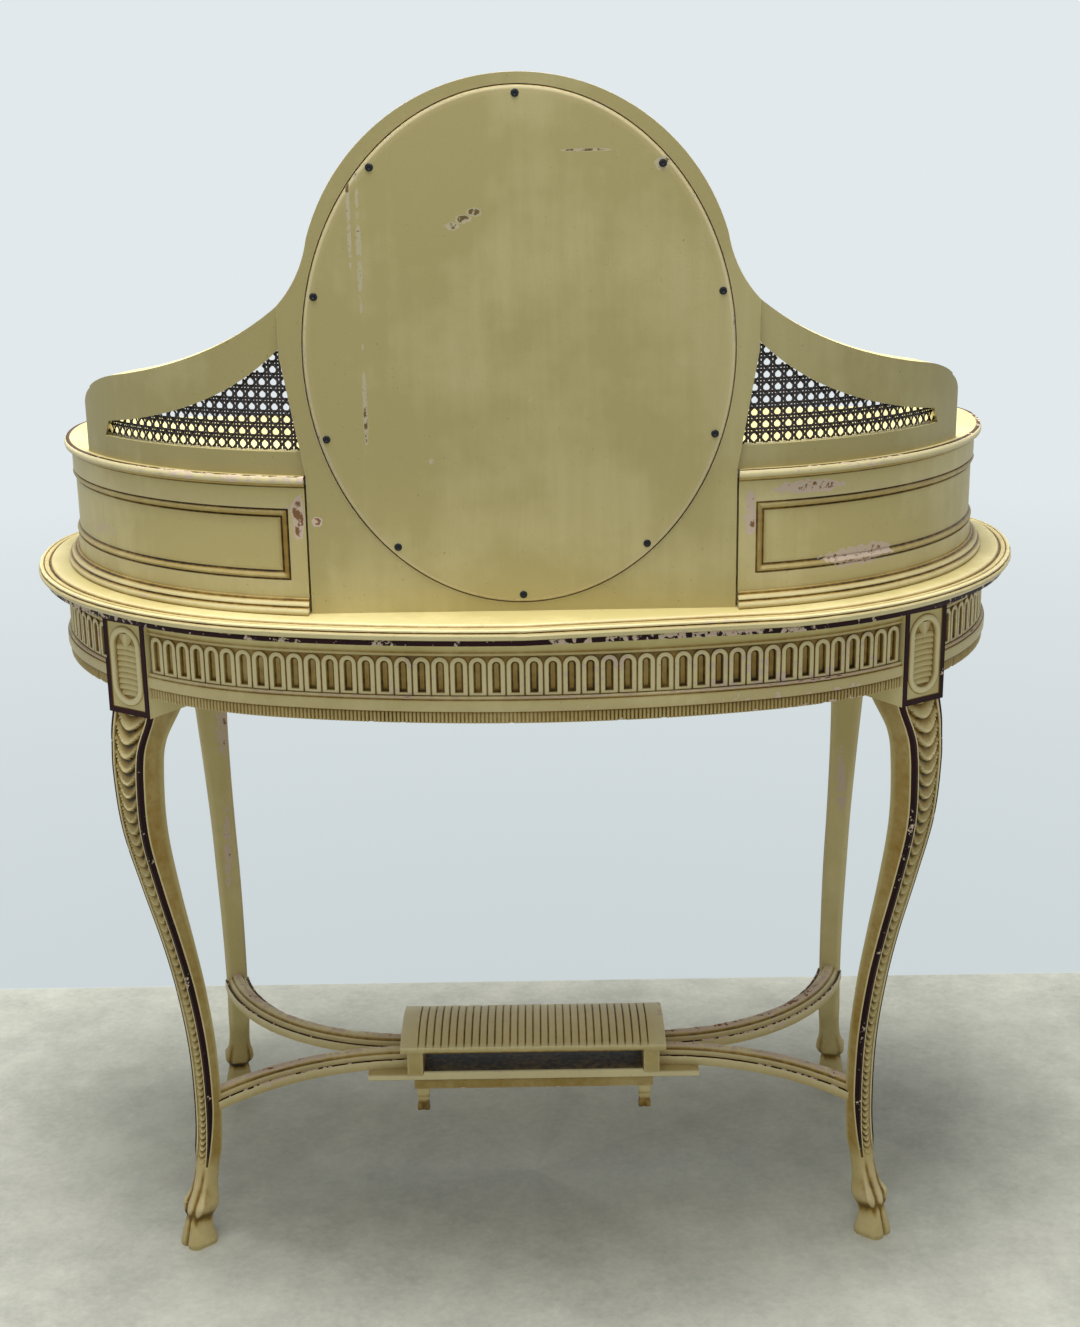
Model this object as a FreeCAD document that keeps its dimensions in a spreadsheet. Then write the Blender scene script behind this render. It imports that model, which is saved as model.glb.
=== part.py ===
"""Painted dressing table with an oval mirror, two side cabinets, caned wings and a footrest.

Millimetres, +Z up, the user sits on the -Y side, origin at the middle of the floor under the table.
Every curved piece follows the table edge, a closed line of tangent arcs, at its own inset from it.
"""
import FreeCAD
import Part
import Sketcher

import math
import os
from types import SimpleNamespace

from FreeCAD import Placement, Rotation, Vector

# Driving dimensions in millimetres, angles in degrees.
SIZES = {
    # Table edge in plan: back, end, corner and front arcs, each tangent to the next.
    "back_edge_radius": 950,
    "end_edge_radius": 390,
    "corner_edge_radius": 190,
    "front_edge_radius": 3332,
    "back_arc_half_angle": 15,
    # Table top and its moulded edge.
    "table_height": 744,
    "top_thickness": 19,
    "top_band_height": 6,
    "top_band_inset": 6,
    "top_edge_round": 3.5,
    "top_step_inset": 13,
    "top_step_height": 2,
    # Apron between the legs, with a bead strip, a projecting band, a flute face and a top band.
    "apron_height": 81,
    "apron_inset": 29,
    "apron_thickness": 21,
    "bead_strip_height": 12,
    "bead_strip_proud": 2,
    "lower_band_height": 15,
    "lower_band_proud": 4,
    "upper_band_height": 15.5,
    "upper_band_proud": 3,
    # Cabriole legs under square blocks.
    "block_width": 57,
    "block_height": 101,
    "block_proud": 9,
    "back_leg_angle": 43,
    "back_leg_turn": 34,
    "front_leg_angle": 162,
    "front_leg_turn": 160,
    "leg_sweep": 60,
    # Frieze drawer in the front apron.
    "frieze_opening_width": 520,
    "frieze_rail_height": 16,
    "frieze_drawer_depth": 300,
    "drawer_front_thickness": 19,
    "drawer_front_gap": 1.5,
    "drawer_side_thickness": 10,
    "drawer_bottom_thickness": 6,
    "drawer_side_drop": 8,
    "drawer_top_gap": 3,
    "running_gap": 0.3,
    "runner_width": 24,
    # Turned knobs.
    "knob_radius": 11,
    "knob_length": 22,
    "knob_stem_radius": 5,
    "knob_foot_radius": 8,
    "knob_foot_thickness": 3,
    "frieze_knob_spacing": 300,
    # Stretcher arms from the legs to the footrest.
    "stretcher_width": 30,
    "stretcher_height": 20,
    "stretcher_underside": 152,
    "stretcher_housing": 6,
    # Footrest with an open slot under its ribbed top.
    "footrest_length": 300,
    "footrest_depth": 105,
    "footrest_block_thickness": 18,
    "footrest_block_height": 29,
    "footrest_block_setback": 7,
    "footrest_top_thickness": 17,
    "footrest_crown": 9,
    "footrest_rib_count": 34,
    "footrest_rib_depth": 1.6,
    "footrest_end_strip": 9,
    "footrest_plate_length": 376,
    "footrest_plate_depth": 96,
    "footrest_plate_thickness": 6,
    "footrest_rail_length": 272,
    "footrest_rail_depth": 88,
    "footrest_rail_height": 13,
    "footrest_foot_width": 18,
    "footrest_foot_height": 28,
    # Side cabinets on the table top.
    "cabinet_height": 131,
    "cabinet_base_inset": 33,
    "cabinet_base_height": 15,
    "cabinet_wall_inset": 45,
    "cabinet_wall_thickness": 12,
    "cabinet_top_inset": 38,
    "cabinet_top_thickness": 11,
    "cabinet_front_angle": 110,
    "cabinet_front_overhang": 7,
    "moulding_step": 4,
    "cabinet_box_width": 192,
    "cabinet_box_clearance": 8,
    "cabinet_drawer_play": 2,
    "cabinet_guide_width": 10,
    "cabinet_guide_height": 14,
    # Mirror board, oval opening, back panel, glass and bead.
    "overall_height": 1230,
    "board_half_width": 200,
    "board_thickness": 22,
    "board_back_inset": 66,
    "joint_half_width": 219,
    "cane_edge_height": 110,
    "wing_joint_height": 156,
    "arch_radius": 198,
    "flare_angle": 17,
    "flare_hollow": 5,
    "oval_height": 986,
    "panel_half_width": 198,
    "panel_half_height": 234,
    "panel_thickness": 5,
    "oval_ledge": 15,
    "glass_thickness": 4,
    "glass_play": 0.5,
    "bead_width": 18,
    "bead_thickness": 10,
    "bead_overlap": 6,
    "screw_head_radius": 4,
    "screw_head_thickness": 1.2,
    "screw_shank_radius": 2,
    "screw_length": 14,
    "screw_edge_distance": 8,
    # Caned wings beside the mirror board.
    "wing_inset": 48,
    "wing_thickness": 18,
    "wing_end_angle": 59.5,
    "wing_end_height": 75,
    "wing_corner_radius": 18,
    "wing_bottom_rail": 22,
    "wing_top_rail": 38,
    "wing_end_stile": 38,
    "cane_thickness": 2,
    "cane_pitch": 11.5,
    "cane_hole_radius": 3.2,
    "cane_margin": 1.5,
    # How far a cutting shape runs past the piece that it cuts.
    "overrun": 5,
}

# Leg sections from floor to block: height as a share of the leg's length, the face's place as a
# share of the sweep (outwards positive), width and depth as shares of the block's width.
LEG_SECTION_SHARES = (
    (0.000, -0.40, 0.68, 0.66),
    (0.045, -0.52, 0.47, 0.46),
    (0.072, -0.60, 0.58, 0.52),
    (0.100, -0.75, 0.48, 0.41),
    (0.178, -0.95, 0.45, 0.37),
    (0.265, -1.00, 0.45, 0.37),
    (0.370, -0.95, 0.47, 0.37),
    (0.480, -0.77, 0.50, 0.39),
    (0.575, -0.53, 0.51, 0.43),
    (0.690, -0.18, 0.57, 0.50),
    (0.800, 0.11, 0.67, 0.57),
    (0.900, 0.17, 0.80, 0.59),
    (0.955, 0.11, 0.87, 0.62),
    (1.000, -0.02, 0.92, 0.85),
)
# Stretcher section: shares of its half width and of its height, a ridge between two shoulders.
STRETCHER_SECTION_SHARES = (
    (-1.0, 0.0),
    (1.0, 0.0),
    (1.0, 0.58),
    (0.62, 0.72),
    (0.36, 1.0),
    (-0.36, 1.0),
    (-0.62, 0.72),
    (-1.0, 0.58),
)
# Little feet under the footrest: height share from the bottom, width share.
FOOT_SECTION_SHARES = ((0.0, 0.80), (0.30, 0.56), (0.62, 0.72), (1.0, 1.0))
FOOT_PLACE_SHARE = 0.93
# Screws of the back panel down each side of the oval, as shares of a half turn from the top.
SCREW_TURN_SHARES = (0.24, 0.425, 0.61, 0.79)
# S curve along the top of a wing: shares of its run and of its drop for the curve's four poles.
WING_CURVE_SHARES = ((0.0, 0.0), (0.21, 0.48), (0.50, 0.80), (1.0, 1.0))
# Point of the cane's outer tip between the bottom rail and the top rail.
CANE_TIP_SHARE = 0.35
# Knob outline: shares of its length at the top of the neck, below the cap and at the cap's rim,
# and the flat of the cap as a share of its radius.
KNOB_NECK_SHARE = 0.45
KNOB_SHOULDER_SHARE = 0.66
KNOB_RIM_SHARE = 0.86
KNOB_FLAT_SHARE = 0.60

AXIS_Z = Vector(0, 0, 1)
DEPTH = Vector(0, 1, 0)
MIRROR_PLANE = Vector(1, 0, 0)
ORIGIN = Vector(0, 0, 0)

doc = FreeCAD.newDocument("dressing_table")
sheet = doc.addObject("Spreadsheet::Sheet", "sizes")
for row, (alias, number) in enumerate(SIZES.items(), start=1):
    sheet.set(f"A{row}", alias)
    sheet.set(f"B{row}", str(number))
    sheet.setAlias(f"B{row}", alias)
doc.recompute()
size = SimpleNamespace(**{alias: float(sheet.get(alias)) for alias in SIZES})
sub_parts = {}


def add(label, item):
    """Name a document object as one piece of the table."""
    item.Label = label
    sub_parts[label] = item
    return item


def add_shape(label, shape):
    """Add a piece whose shape follows the table edge or another piece."""
    item = doc.addObject("Part::Feature", label)
    item.Shape = shape
    item.Placement = Placement()
    return add(label, item)


def bind(item, **expressions):
    """Tie an object's properties to the spreadsheet."""
    for name, text in expressions.items():
        item.setExpression(name, text)


def new_box(name, corner, length, width, height):
    """A block at a corner, its three sizes given as expressions of the spreadsheet."""
    block = doc.addObject("Part::Box", name)
    bind(block, Length=length, Width=width, Height=height)
    block.Placement = Placement(corner, Rotation())
    return block


def cut_by(label, base, *tools):
    """A piece that is trimmed to the neighbours it butts against."""
    for number, tool in enumerate(tools):
        cut = doc.addObject("Part::Cut", f"{label}_{number}")
        cut.Base = base
        cut.Tool = tool
        base = cut
    return add(label, base)


def mirrored(shape):
    """The same shape on the other side of the table."""
    return shape.mirror(ORIGIN, MIRROR_PLANE)


def heading(angle):
    """Unit vector in plan at an angle from +Y towards +X."""
    return Vector(math.sin(math.radians(angle)), math.cos(math.radians(angle)), 0)


def edge_plan():
    """Centres and radii of the table edge's arcs, with the overall depth centred on the origin."""
    lean = heading(size.back_arc_half_angle)
    end = lean * (size.back_edge_radius - size.end_edge_radius)
    corner = end + Vector(size.end_edge_radius - size.corner_edge_radius, 0, 0)
    front_reach = size.front_edge_radius - size.corner_edge_radius
    front_y = corner.y + math.sqrt(front_reach**2 - corner.x**2)
    front_half_angle = math.degrees(math.asin(corner.x / front_reach))
    middle = (size.back_edge_radius + front_y - size.front_edge_radius) / 2
    shift = Vector(0, middle, 0)
    return SimpleNamespace(
        back=-shift,
        end=end - shift,
        corner=corner - shift,
        front=Vector(0, front_y, 0) - shift,
        front_half_angle=front_half_angle,
        half_depth=size.back_edge_radius - middle,
    )


plan = edge_plan()


def edge_arcs():
    """Arcs of the whole edge as (centre, radius, first angle, last angle), clockwise from the back."""
    lean = size.back_arc_half_angle
    bow = plan.front_half_angle
    quarter, half, whole = 90, 180, 360
    left_end = Vector(-plan.end.x, plan.end.y, 0)
    left_corner = Vector(-plan.corner.x, plan.corner.y, 0)
    return (
        (plan.back, size.back_edge_radius, -lean, lean),
        (plan.end, size.end_edge_radius, lean, quarter),
        (plan.corner, size.corner_edge_radius, quarter, half - bow),
        (plan.front, size.front_edge_radius, half - bow, half + bow),
        (left_corner, size.corner_edge_radius, half + bow, whole - quarter),
        (left_end, size.end_edge_radius, whole - quarter, whole - lean),
    )


def edge_point(angle, inset):
    """Point of the edge whose outward normal has the angle, moved inwards by the inset."""
    turn = 360
    for centre, radius, first, last in edge_arcs():
        for candidate in (angle - turn, angle, angle + turn):
            if first <= candidate <= last:
                return centre + heading(candidate) * (radius - inset)
    raise ValueError(f"no edge at {angle} degrees")


def edge_wire(inset, height):
    """Closed outline at an inset from the table edge."""
    lift = Vector(0, 0, height)
    arcs = []
    for centre, radius, first, last in edge_arcs():
        angles = (first, (first + last) / 2, last)
        points = [centre + heading(angle) * (radius - inset) + lift for angle in angles]
        arcs.append(Part.Arc(*points).toShape())
    return Part.Wire(arcs)


def edge_slab(profile):
    """Solid slab whose rim runs through (inset, height) points."""
    return Part.makeLoft([edge_wire(inset, height) for inset, height in profile], True, True)


def edge_band(profile, first_angle, last_angle):
    """Band along the edge between two normals, with a closed (inset, height) section."""
    turn = 360
    spans = []
    for centre, radius, first, last in edge_arcs():
        for shift in (-turn, 0):
            start = max(first + shift, first_angle)
            stop = min(last + shift, last_angle)
            if stop <= start:
                continue
            out = heading(start)
            points = [centre + out * (radius - inset) + AXIS_Z * height for inset, height in profile]
            section = Part.Face(Part.makePolygon(points + points[:1]))
            spans.append(section.revolve(centre, -AXIS_Z, stop - start))
    band = spans[0]
    if len(spans) > 1:
        band = band.multiFuse(spans[1:])
    return band.removeSplitter()


def upright(inset_outer, inset_inner, bottom, top):
    """Plain upright section for a band."""
    return ((inset_outer, bottom), (inset_outer, top), (inset_inner, top), (inset_inner, bottom))


def back_y(x, inset):
    """Depth of the back edge's inset line at x."""
    reach = size.back_edge_radius - inset
    if abs(x) <= reach * math.sin(math.radians(size.back_arc_half_angle)):
        return plan.back.y + math.sqrt(reach**2 - x**2)
    return plan.end.y + math.sqrt((size.end_edge_radius - inset) ** 2 - (abs(x) - plan.end.x) ** 2)


def front_y(x, inset):
    """Depth of the front edge's inset line at x."""
    return plan.front.y - math.sqrt((size.front_edge_radius - inset) ** 2 - x**2)


def oval_prism(half_width, half_height, near, far):
    """Upright oval block about the mirror's centre between two depths."""
    centre = Vector(0, near, size.oval_height)
    oval = Part.Ellipse(centre + AXIS_Z * half_height, centre + MIRROR_PLANE * half_width, centre)
    return Part.Face(Part.Wire(oval.toShape())).extrude(DEPTH * (far - near))


# Heights that several pieces share.
under_top = size.table_height - size.top_thickness
apron_bottom = under_top - size.apron_height
block_bottom = under_top - size.block_height
cabinet_floor = size.table_height + size.cabinet_base_height
cabinet_top = size.table_height + size.cabinet_height
cabinet_ceiling = cabinet_top - size.cabinet_top_thickness


def table_top():
    """Oval top: a set-in band below, a rounded edge, and a step up to the flat top."""
    band_top = under_top + size.top_band_height
    step = size.table_height - size.top_step_height
    rounded = size.top_edge_round
    return edge_slab(
        (
            (size.top_band_inset, under_top),
            (size.top_band_inset, band_top),
            (rounded, band_top),
            (0, band_top + rounded),
            (0, step - rounded),
            (rounded, step),
            (size.top_step_inset, step),
            (size.top_step_inset + size.top_step_height, size.table_height),
        )
    )


def apron_section(top):
    """Moulded section of the apron up to a height, flat at the back."""
    inner = size.apron_inset + size.apron_thickness
    face = size.apron_inset
    bead_top = apron_bottom + size.bead_strip_height
    band_top = bead_top + size.lower_band_height
    bead = face - size.bead_strip_proud
    band = face - size.lower_band_proud
    points = [(inner, apron_bottom), (bead, apron_bottom), (bead, bead_top), (band, bead_top)]
    if top <= band_top:
        return points + [(band, top), (inner, top)]
    upper = face - size.upper_band_proud
    upper_bottom = top - size.upper_band_height
    points += [(band, band_top), (face, band_top), (face, upper_bottom), (upper, upper_bottom)]
    return points + [(upper, top), (inner, top)]


def leg(angle, turn):
    """Cabriole leg with its block, at an angle along the edge, its face turned to a heading."""
    out = heading(turn)
    side = Vector(out.y, -out.x, 0)
    face = edge_point(angle, size.apron_inset - size.block_proud)
    half = size.block_width / 2
    sections = []
    for height_share, sweep_share, width_share, depth_share in LEG_SECTION_SHARES:
        front = face + out * (sweep_share * size.leg_sweep) + AXIS_Z * (height_share * block_bottom)
        back = front - out * (depth_share * size.block_width)
        across = side * (width_share * half)
        corners = [front - across, front + across, back + across, back - across]
        sections.append(Part.makePolygon(corners + corners[:1]))
    shaft = Part.makeLoft(sections, True, False)
    near = face + AXIS_Z * block_bottom
    far = near - out * size.block_width
    across = side * half
    base = [near - across, near + across, far + across, far - across]
    block = Part.Face(Part.makePolygon(base + base[:1])).extrude(AXIS_Z * size.block_height)
    return shaft.fuse(block).removeSplitter()


def leg_axis(angle, turn, height):
    """Middle of a leg at a height and its depth there, by straight lines between its sections."""
    rows = LEG_SECTION_SHARES
    share = height / block_bottom
    low, high = next((a, b) for a, b in zip(rows, rows[1:]) if a[0] <= share <= b[0])
    blend = (share - low[0]) / (high[0] - low[0])
    sweep, depth = (low[i] + (high[i] - low[i]) * blend for i in (1, 3))
    thick = depth * size.block_width
    face = edge_point(angle, size.apron_inset - size.block_proud)
    return face + heading(turn) * (sweep * size.leg_sweep - thick / 2), thick


def stretcher(angle, turn):
    """Arm that leaves the footrest's end block along X and bends round to a leg."""
    half = size.stretcher_width / 2
    start = Vector(size.footrest_length / 2 - size.footrest_block_setback, half, 0)
    middle, thick = leg_axis(angle, turn, size.stretcher_underside + size.stretcher_height / 2)
    run = middle.x - start.x
    rise = abs(middle.y) - start.y
    radius = (run**2 + rise**2) / (2 * rise)
    bend = math.atan2(run, radius - rise) - (thick / 2 - size.stretcher_housing) / radius
    lift = AXIS_Z * size.stretcher_underside
    points = [start + lift + DEPTH * (a * half) + AXIS_Z * (b * size.stretcher_height)
              for a, b in STRETCHER_SECTION_SHARES]
    section = Part.Face(Part.makePolygon(points + points[:1]))
    arm = section.revolve(start + DEPTH * radius, AXIS_Z, math.degrees(bend))
    if middle.y < 0:
        arm = arm.mirror(ORIGIN, DEPTH)
    return arm


def build_table_frame():
    """Top, legs, aprons, stretchers and the rail and runners of the frieze drawer."""
    add_shape("table_top", table_top())
    stances = {
        "back": (size.back_leg_angle, size.back_leg_turn),
        "front": (size.front_leg_angle, size.front_leg_turn),
    }
    legs = {}
    for place, stance in stances.items():
        shape = leg(*stance)
        legs[place, "right"] = add_shape(f"leg_{place}_right", shape)
        legs[place, "left"] = add_shape(f"leg_{place}_left", mirrored(shape))

    full = apron_section(under_top)
    back = edge_band(full, -size.back_leg_angle, size.back_leg_angle)
    back = back.cut([legs["back", "left"].Shape, legs["back", "right"].Shape])
    add_shape("back_apron", back)
    end = edge_band(full, size.back_leg_angle, size.front_leg_angle)
    end = end.cut([legs["back", "right"].Shape, legs["front", "right"].Shape])
    add_shape("right_end_apron", end)
    add_shape("left_end_apron", mirrored(end))

    half_opening = size.frieze_opening_width / 2
    half_turn = 180
    deep = size.front_edge_radius
    front = edge_band(full, size.front_leg_angle, half_turn).cut(legs["front", "right"].Shape)
    gap = Part.makeBox(half_opening * 2, deep, deep, Vector(-half_opening, -deep / 2, 0))
    front = front.cut(gap)
    add_shape("front_apron_right", front)
    add_shape("front_apron_left", mirrored(front))
    rail_top = apron_bottom + size.frieze_rail_height
    rail = edge_band(apron_section(rail_top), size.front_leg_angle, half_turn * 2 - size.front_leg_angle)
    rail = rail.common(gap)
    add_shape("front_drawer_rail", rail)

    runners = []
    inner = size.apron_inset + size.apron_thickness
    middle = half_opening - size.drawer_front_gap - size.drawer_side_thickness / 2
    for sign in (-1, 1):
        near = front_y(0, inner) - size.overrun / 2
        far = back_y(middle + size.runner_width / 2, inner) + size.overrun
        corner = Vector(sign * middle - size.runner_width / 2, near, apron_bottom)
        bar = Part.makeBox(size.runner_width, far - near, size.frieze_rail_height, corner)
        runners.append(bar.cut([rail, back, front, mirrored(front)]))
    add_shape("frieze_drawer_runners", Part.makeCompound(runners))

    for place, stance in stances.items():
        arm = stretcher(*stance).cut(legs[place, "right"].Shape)
        add_shape(f"stretcher_{place}_right", arm)
        add_shape(f"stretcher_{place}_left", mirrored(arm))


def build_footrest():
    """Ribbed top on two end blocks, with a plate, a rail and four little feet below."""
    plate_bottom = size.stretcher_underside - size.footrest_plate_thickness
    block_top = size.stretcher_underside + size.footrest_block_height
    half_length = size.footrest_length / 2
    half_depth = size.footrest_depth / 2

    slab = new_box(
        "footrest_slab",
        Vector(-half_length, -half_depth, block_top),
        "sizes.footrest_length",
        "sizes.footrest_depth",
        "sizes.footrest_top_thickness",
    )
    crown = doc.addObject("Part::Cylinder", "footrest_crown")
    radius = "((sizes.footrest_depth / 2) ^ 2 + sizes.footrest_crown ^ 2) / (2 * sizes.footrest_crown)"
    bind(crown, Radius=radius, Height="sizes.footrest_length")
    doc.recompute()
    crown_z = block_top + size.footrest_top_thickness - crown.Radius.Value
    crown.Placement = Placement(Vector(-half_length, 0, crown_z), Rotation(DEPTH, 90))
    domed = doc.addObject("Part::Common", "footrest_domed")
    domed.Base = slab
    domed.Tool = crown
    doc.recompute()
    add_shape("footrest_top", domed.Shape.cut(footrest_grooves(crown_z, crown.Radius.Value)))

    blocks = []
    outer = half_length - size.footrest_block_setback
    for x in (-outer, outer - size.footrest_block_thickness):
        blocks.append(
            new_box(
                f"footrest_block_{len(blocks)}",
                Vector(x, -size.footrest_plate_depth / 2, size.stretcher_underside),
                "sizes.footrest_block_thickness",
                "sizes.footrest_plate_depth",
                "sizes.footrest_block_height",
            )
        )
    pair = doc.addObject("Part::Compound", "footrest_end_blocks")
    pair.Links = blocks
    add("footrest_end_blocks", pair)

    plate = new_box(
        "footrest_base_plate",
        Vector(-size.footrest_plate_length / 2, -size.footrest_plate_depth / 2, plate_bottom),
        "sizes.footrest_plate_length",
        "sizes.footrest_plate_depth",
        "sizes.footrest_plate_thickness",
    )
    add("footrest_base_plate", plate)
    rail_bottom = plate_bottom - size.footrest_rail_height
    rail = new_box(
        "footrest_rail",
        Vector(-size.footrest_rail_length / 2, -size.footrest_rail_depth / 2, rail_bottom),
        "sizes.footrest_rail_length",
        "sizes.footrest_rail_depth",
        "sizes.footrest_rail_height",
    )
    add("footrest_rail", rail)
    reach_x = FOOT_PLACE_SHARE * size.footrest_rail_length / 2
    reach_y = (size.footrest_rail_depth - size.footrest_foot_width) / 2
    places = [Vector(a * reach_x, b * reach_y, rail_bottom) for a in (-1, 1) for b in (-1, 1)]
    add_shape("footrest_feet", Part.makeCompound([little_foot(place) for place in places]))


def footrest_grooves(axis_height, radius):
    """Rings about the crown's axis that leave the ribs standing between them."""
    run = size.footrest_length - 2 * size.footrest_end_strip
    pitch = run / size.footrest_rib_count
    start = -run / 2
    grooves = []
    for number in range(int(size.footrest_rib_count)):
        foot = Vector(start + number * pitch + pitch / 4, 0, axis_height)
        ring = Part.makeCylinder(radius + size.overrun, pitch / 2, foot, MIRROR_PLANE)
        core = Part.makeCylinder(radius - size.footrest_rib_depth, pitch / 2, foot, MIRROR_PLANE)
        grooves.append(ring.cut(core))
    return grooves


def little_foot(top):
    """Small tapered foot that hangs under the footrest's rail."""
    sections = []
    for height_share, width_share in FOOT_SECTION_SHARES:
        half = width_share * size.footrest_foot_width / 2
        height = top.z - (1 - height_share) * size.footrest_foot_height
        square = ((-1, -1), (1, -1), (1, 1), (-1, 1))
        corners = [Vector(top.x + a * half, top.y + b * half, height) for a, b in square]
        sections.append(Part.makePolygon(corners + corners[:1]))
    return Part.makeLoft(sections, True, False)


def cabinet_limits():
    """Depth of the cabinets' front and the x where the drawer opening ends."""
    front = edge_point(size.cabinet_front_angle, size.cabinet_wall_inset).y
    inner = size.corner_edge_radius - size.cabinet_wall_inset - size.cabinet_wall_thickness
    opening = plan.corner.x + math.sqrt(inner**2 - (plan.corner.y - front) ** 2)
    return front, opening


def build_cabinets():
    """Bottom, curved wall, partition, top and drawer guide of each side cabinet."""
    front, _ = cabinet_limits()
    far = size.back_edge_radius
    inner = size.cabinet_wall_inset + size.cabinet_wall_thickness
    wall_height = cabinet_ceiling - cabinet_floor
    step = size.moulding_step

    def side_region(overhang):
        corner = Vector(size.board_half_width, front - overhang, 0)
        return Part.makeBox(far, far, size.overall_height, corner)

    base = edge_slab(
        (
            (size.cabinet_base_inset, size.table_height),
            (size.cabinet_base_inset, cabinet_floor - 2 * step),
            (size.cabinet_base_inset + step, cabinet_floor - step),
            (size.cabinet_wall_inset - step / 2, cabinet_floor),
        )
    ).common(side_region(size.cabinet_front_overhang))
    lid = edge_slab(
        (
            (size.cabinet_top_inset + step, cabinet_ceiling),
            (size.cabinet_top_inset, cabinet_ceiling + step),
            (size.cabinet_top_inset, cabinet_top - step / 2),
            (size.cabinet_top_inset + step / 2, cabinet_top),
        )
    ).common(side_region(size.cabinet_front_overhang))
    core = edge_slab(((inner, cabinet_floor), (inner, cabinet_ceiling)))
    outer = size.cabinet_wall_inset
    body = edge_slab(((outer, cabinet_floor), (outer, cabinet_ceiling)))
    wall = body.cut(core).common(side_region(0))
    partition = Part.makeBox(
        size.cabinet_wall_thickness,
        far,
        wall_height,
        Vector(size.board_half_width, front, cabinet_floor),
    ).common(core)
    box_left = size.board_half_width + size.cabinet_wall_thickness + size.cabinet_drawer_play
    guide_x = box_left + size.cabinet_box_width + size.cabinet_drawer_play
    guide_back = cabinet_box_back(guide_x + size.cabinet_guide_width)
    guide_front = front + size.drawer_front_thickness + size.cabinet_drawer_play
    guide = Part.makeBox(
        size.cabinet_guide_width,
        guide_back - guide_front,
        size.cabinet_guide_height,
        Vector(guide_x, guide_front, cabinet_floor),
    )
    pieces = {
        "bottom": base,
        "wall": wall,
        "partition": partition,
        "top": lid,
        "drawer_guide": guide,
    }
    for name, shape in pieces.items():
        add_shape(f"right_cabinet_{name}", shape)
        add_shape(f"left_cabinet_{name}", mirrored(shape))


def cabinet_box_back(x):
    """Depth up to which a straight piece at x stays clear of the curved cabinet wall."""
    inner = size.cabinet_wall_inset + size.cabinet_wall_thickness + size.cabinet_box_clearance
    return back_y(x, inner)


def drawn_polygon(sketch, corners):
    """Closed polygon in a sketch, each corner tied to the spreadsheet by two expressions."""
    origin, x_axis, y_axis, first_end, last_end = -1, -1, -2, 1, 2
    for number in range(len(corners)):
        start, stop = Vector(number, number**2, 0), Vector(number + 1, (number + 1) ** 2, 0)
        sketch.addGeometry(Part.LineSegment(start, stop), False)
    for number, (across, along) in enumerate(corners):
        previous = (number - 1) % len(corners)
        sketch.addConstraint(Sketcher.Constraint("Coincident", previous, last_end, number, first_end))
        for kind, axis, text in (("DistanceX", y_axis, across), ("DistanceY", x_axis, along)):
            if text == "0":
                sketch.addConstraint(Sketcher.Constraint("PointOnObject", number, first_end, axis))
                continue
            rule = Sketcher.Constraint(kind, origin, first_end, number, first_end, 1.0)
            sketch.setExpression(f"Constraints[{sketch.addConstraint(rule)}]", text)


def turned_knob():
    """Knob turned about Y from the plane of a drawer front towards -Y, as a revolved sketch."""
    body = doc.addObject("PartDesign::Body", "turned_knob")
    planes = {item.Role: item for item in body.Origin.OriginFeatures}
    sketch = body.newObject("Sketcher::SketchObject", "knob_profile")
    sketch.AttachmentSupport = (planes["XY_Plane"], "")
    sketch.MapMode = "FlatFace"
    length = "sizes.knob_length"
    foot = "sizes.knob_foot_thickness"
    drawn_polygon(
        sketch,
        (
            ("0", "0"),
            ("sizes.knob_foot_radius", "0"),
            ("sizes.knob_foot_radius", foot),
            ("sizes.knob_stem_radius", f"{foot} * 2"),
            ("sizes.knob_stem_radius", f"{length} * {KNOB_NECK_SHARE}"),
            ("sizes.knob_radius", f"{length} * {KNOB_SHOULDER_SHARE}"),
            ("sizes.knob_radius", f"{length} * {KNOB_RIM_SHARE}"),
            (f"sizes.knob_radius * {KNOB_FLAT_SHARE}", length),
            ("0", length),
        ),
    )
    turning = body.newObject("PartDesign::Revolution", "knob_turning")
    turning.Profile = sketch
    turning.ReferenceAxis = (sketch, ["V_Axis"])
    doc.recompute()
    return body.Shape


def knob_at(knob, place, front):
    """Knob that points to the user, its foot fitted to a drawer front."""
    seated = knob.copy()
    sunk = place + DEPTH * (size.knob_foot_thickness / 2)
    seated.Placement = Placement(sunk, Rotation(AXIS_Z, 180))
    return seated.cut(front)


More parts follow.
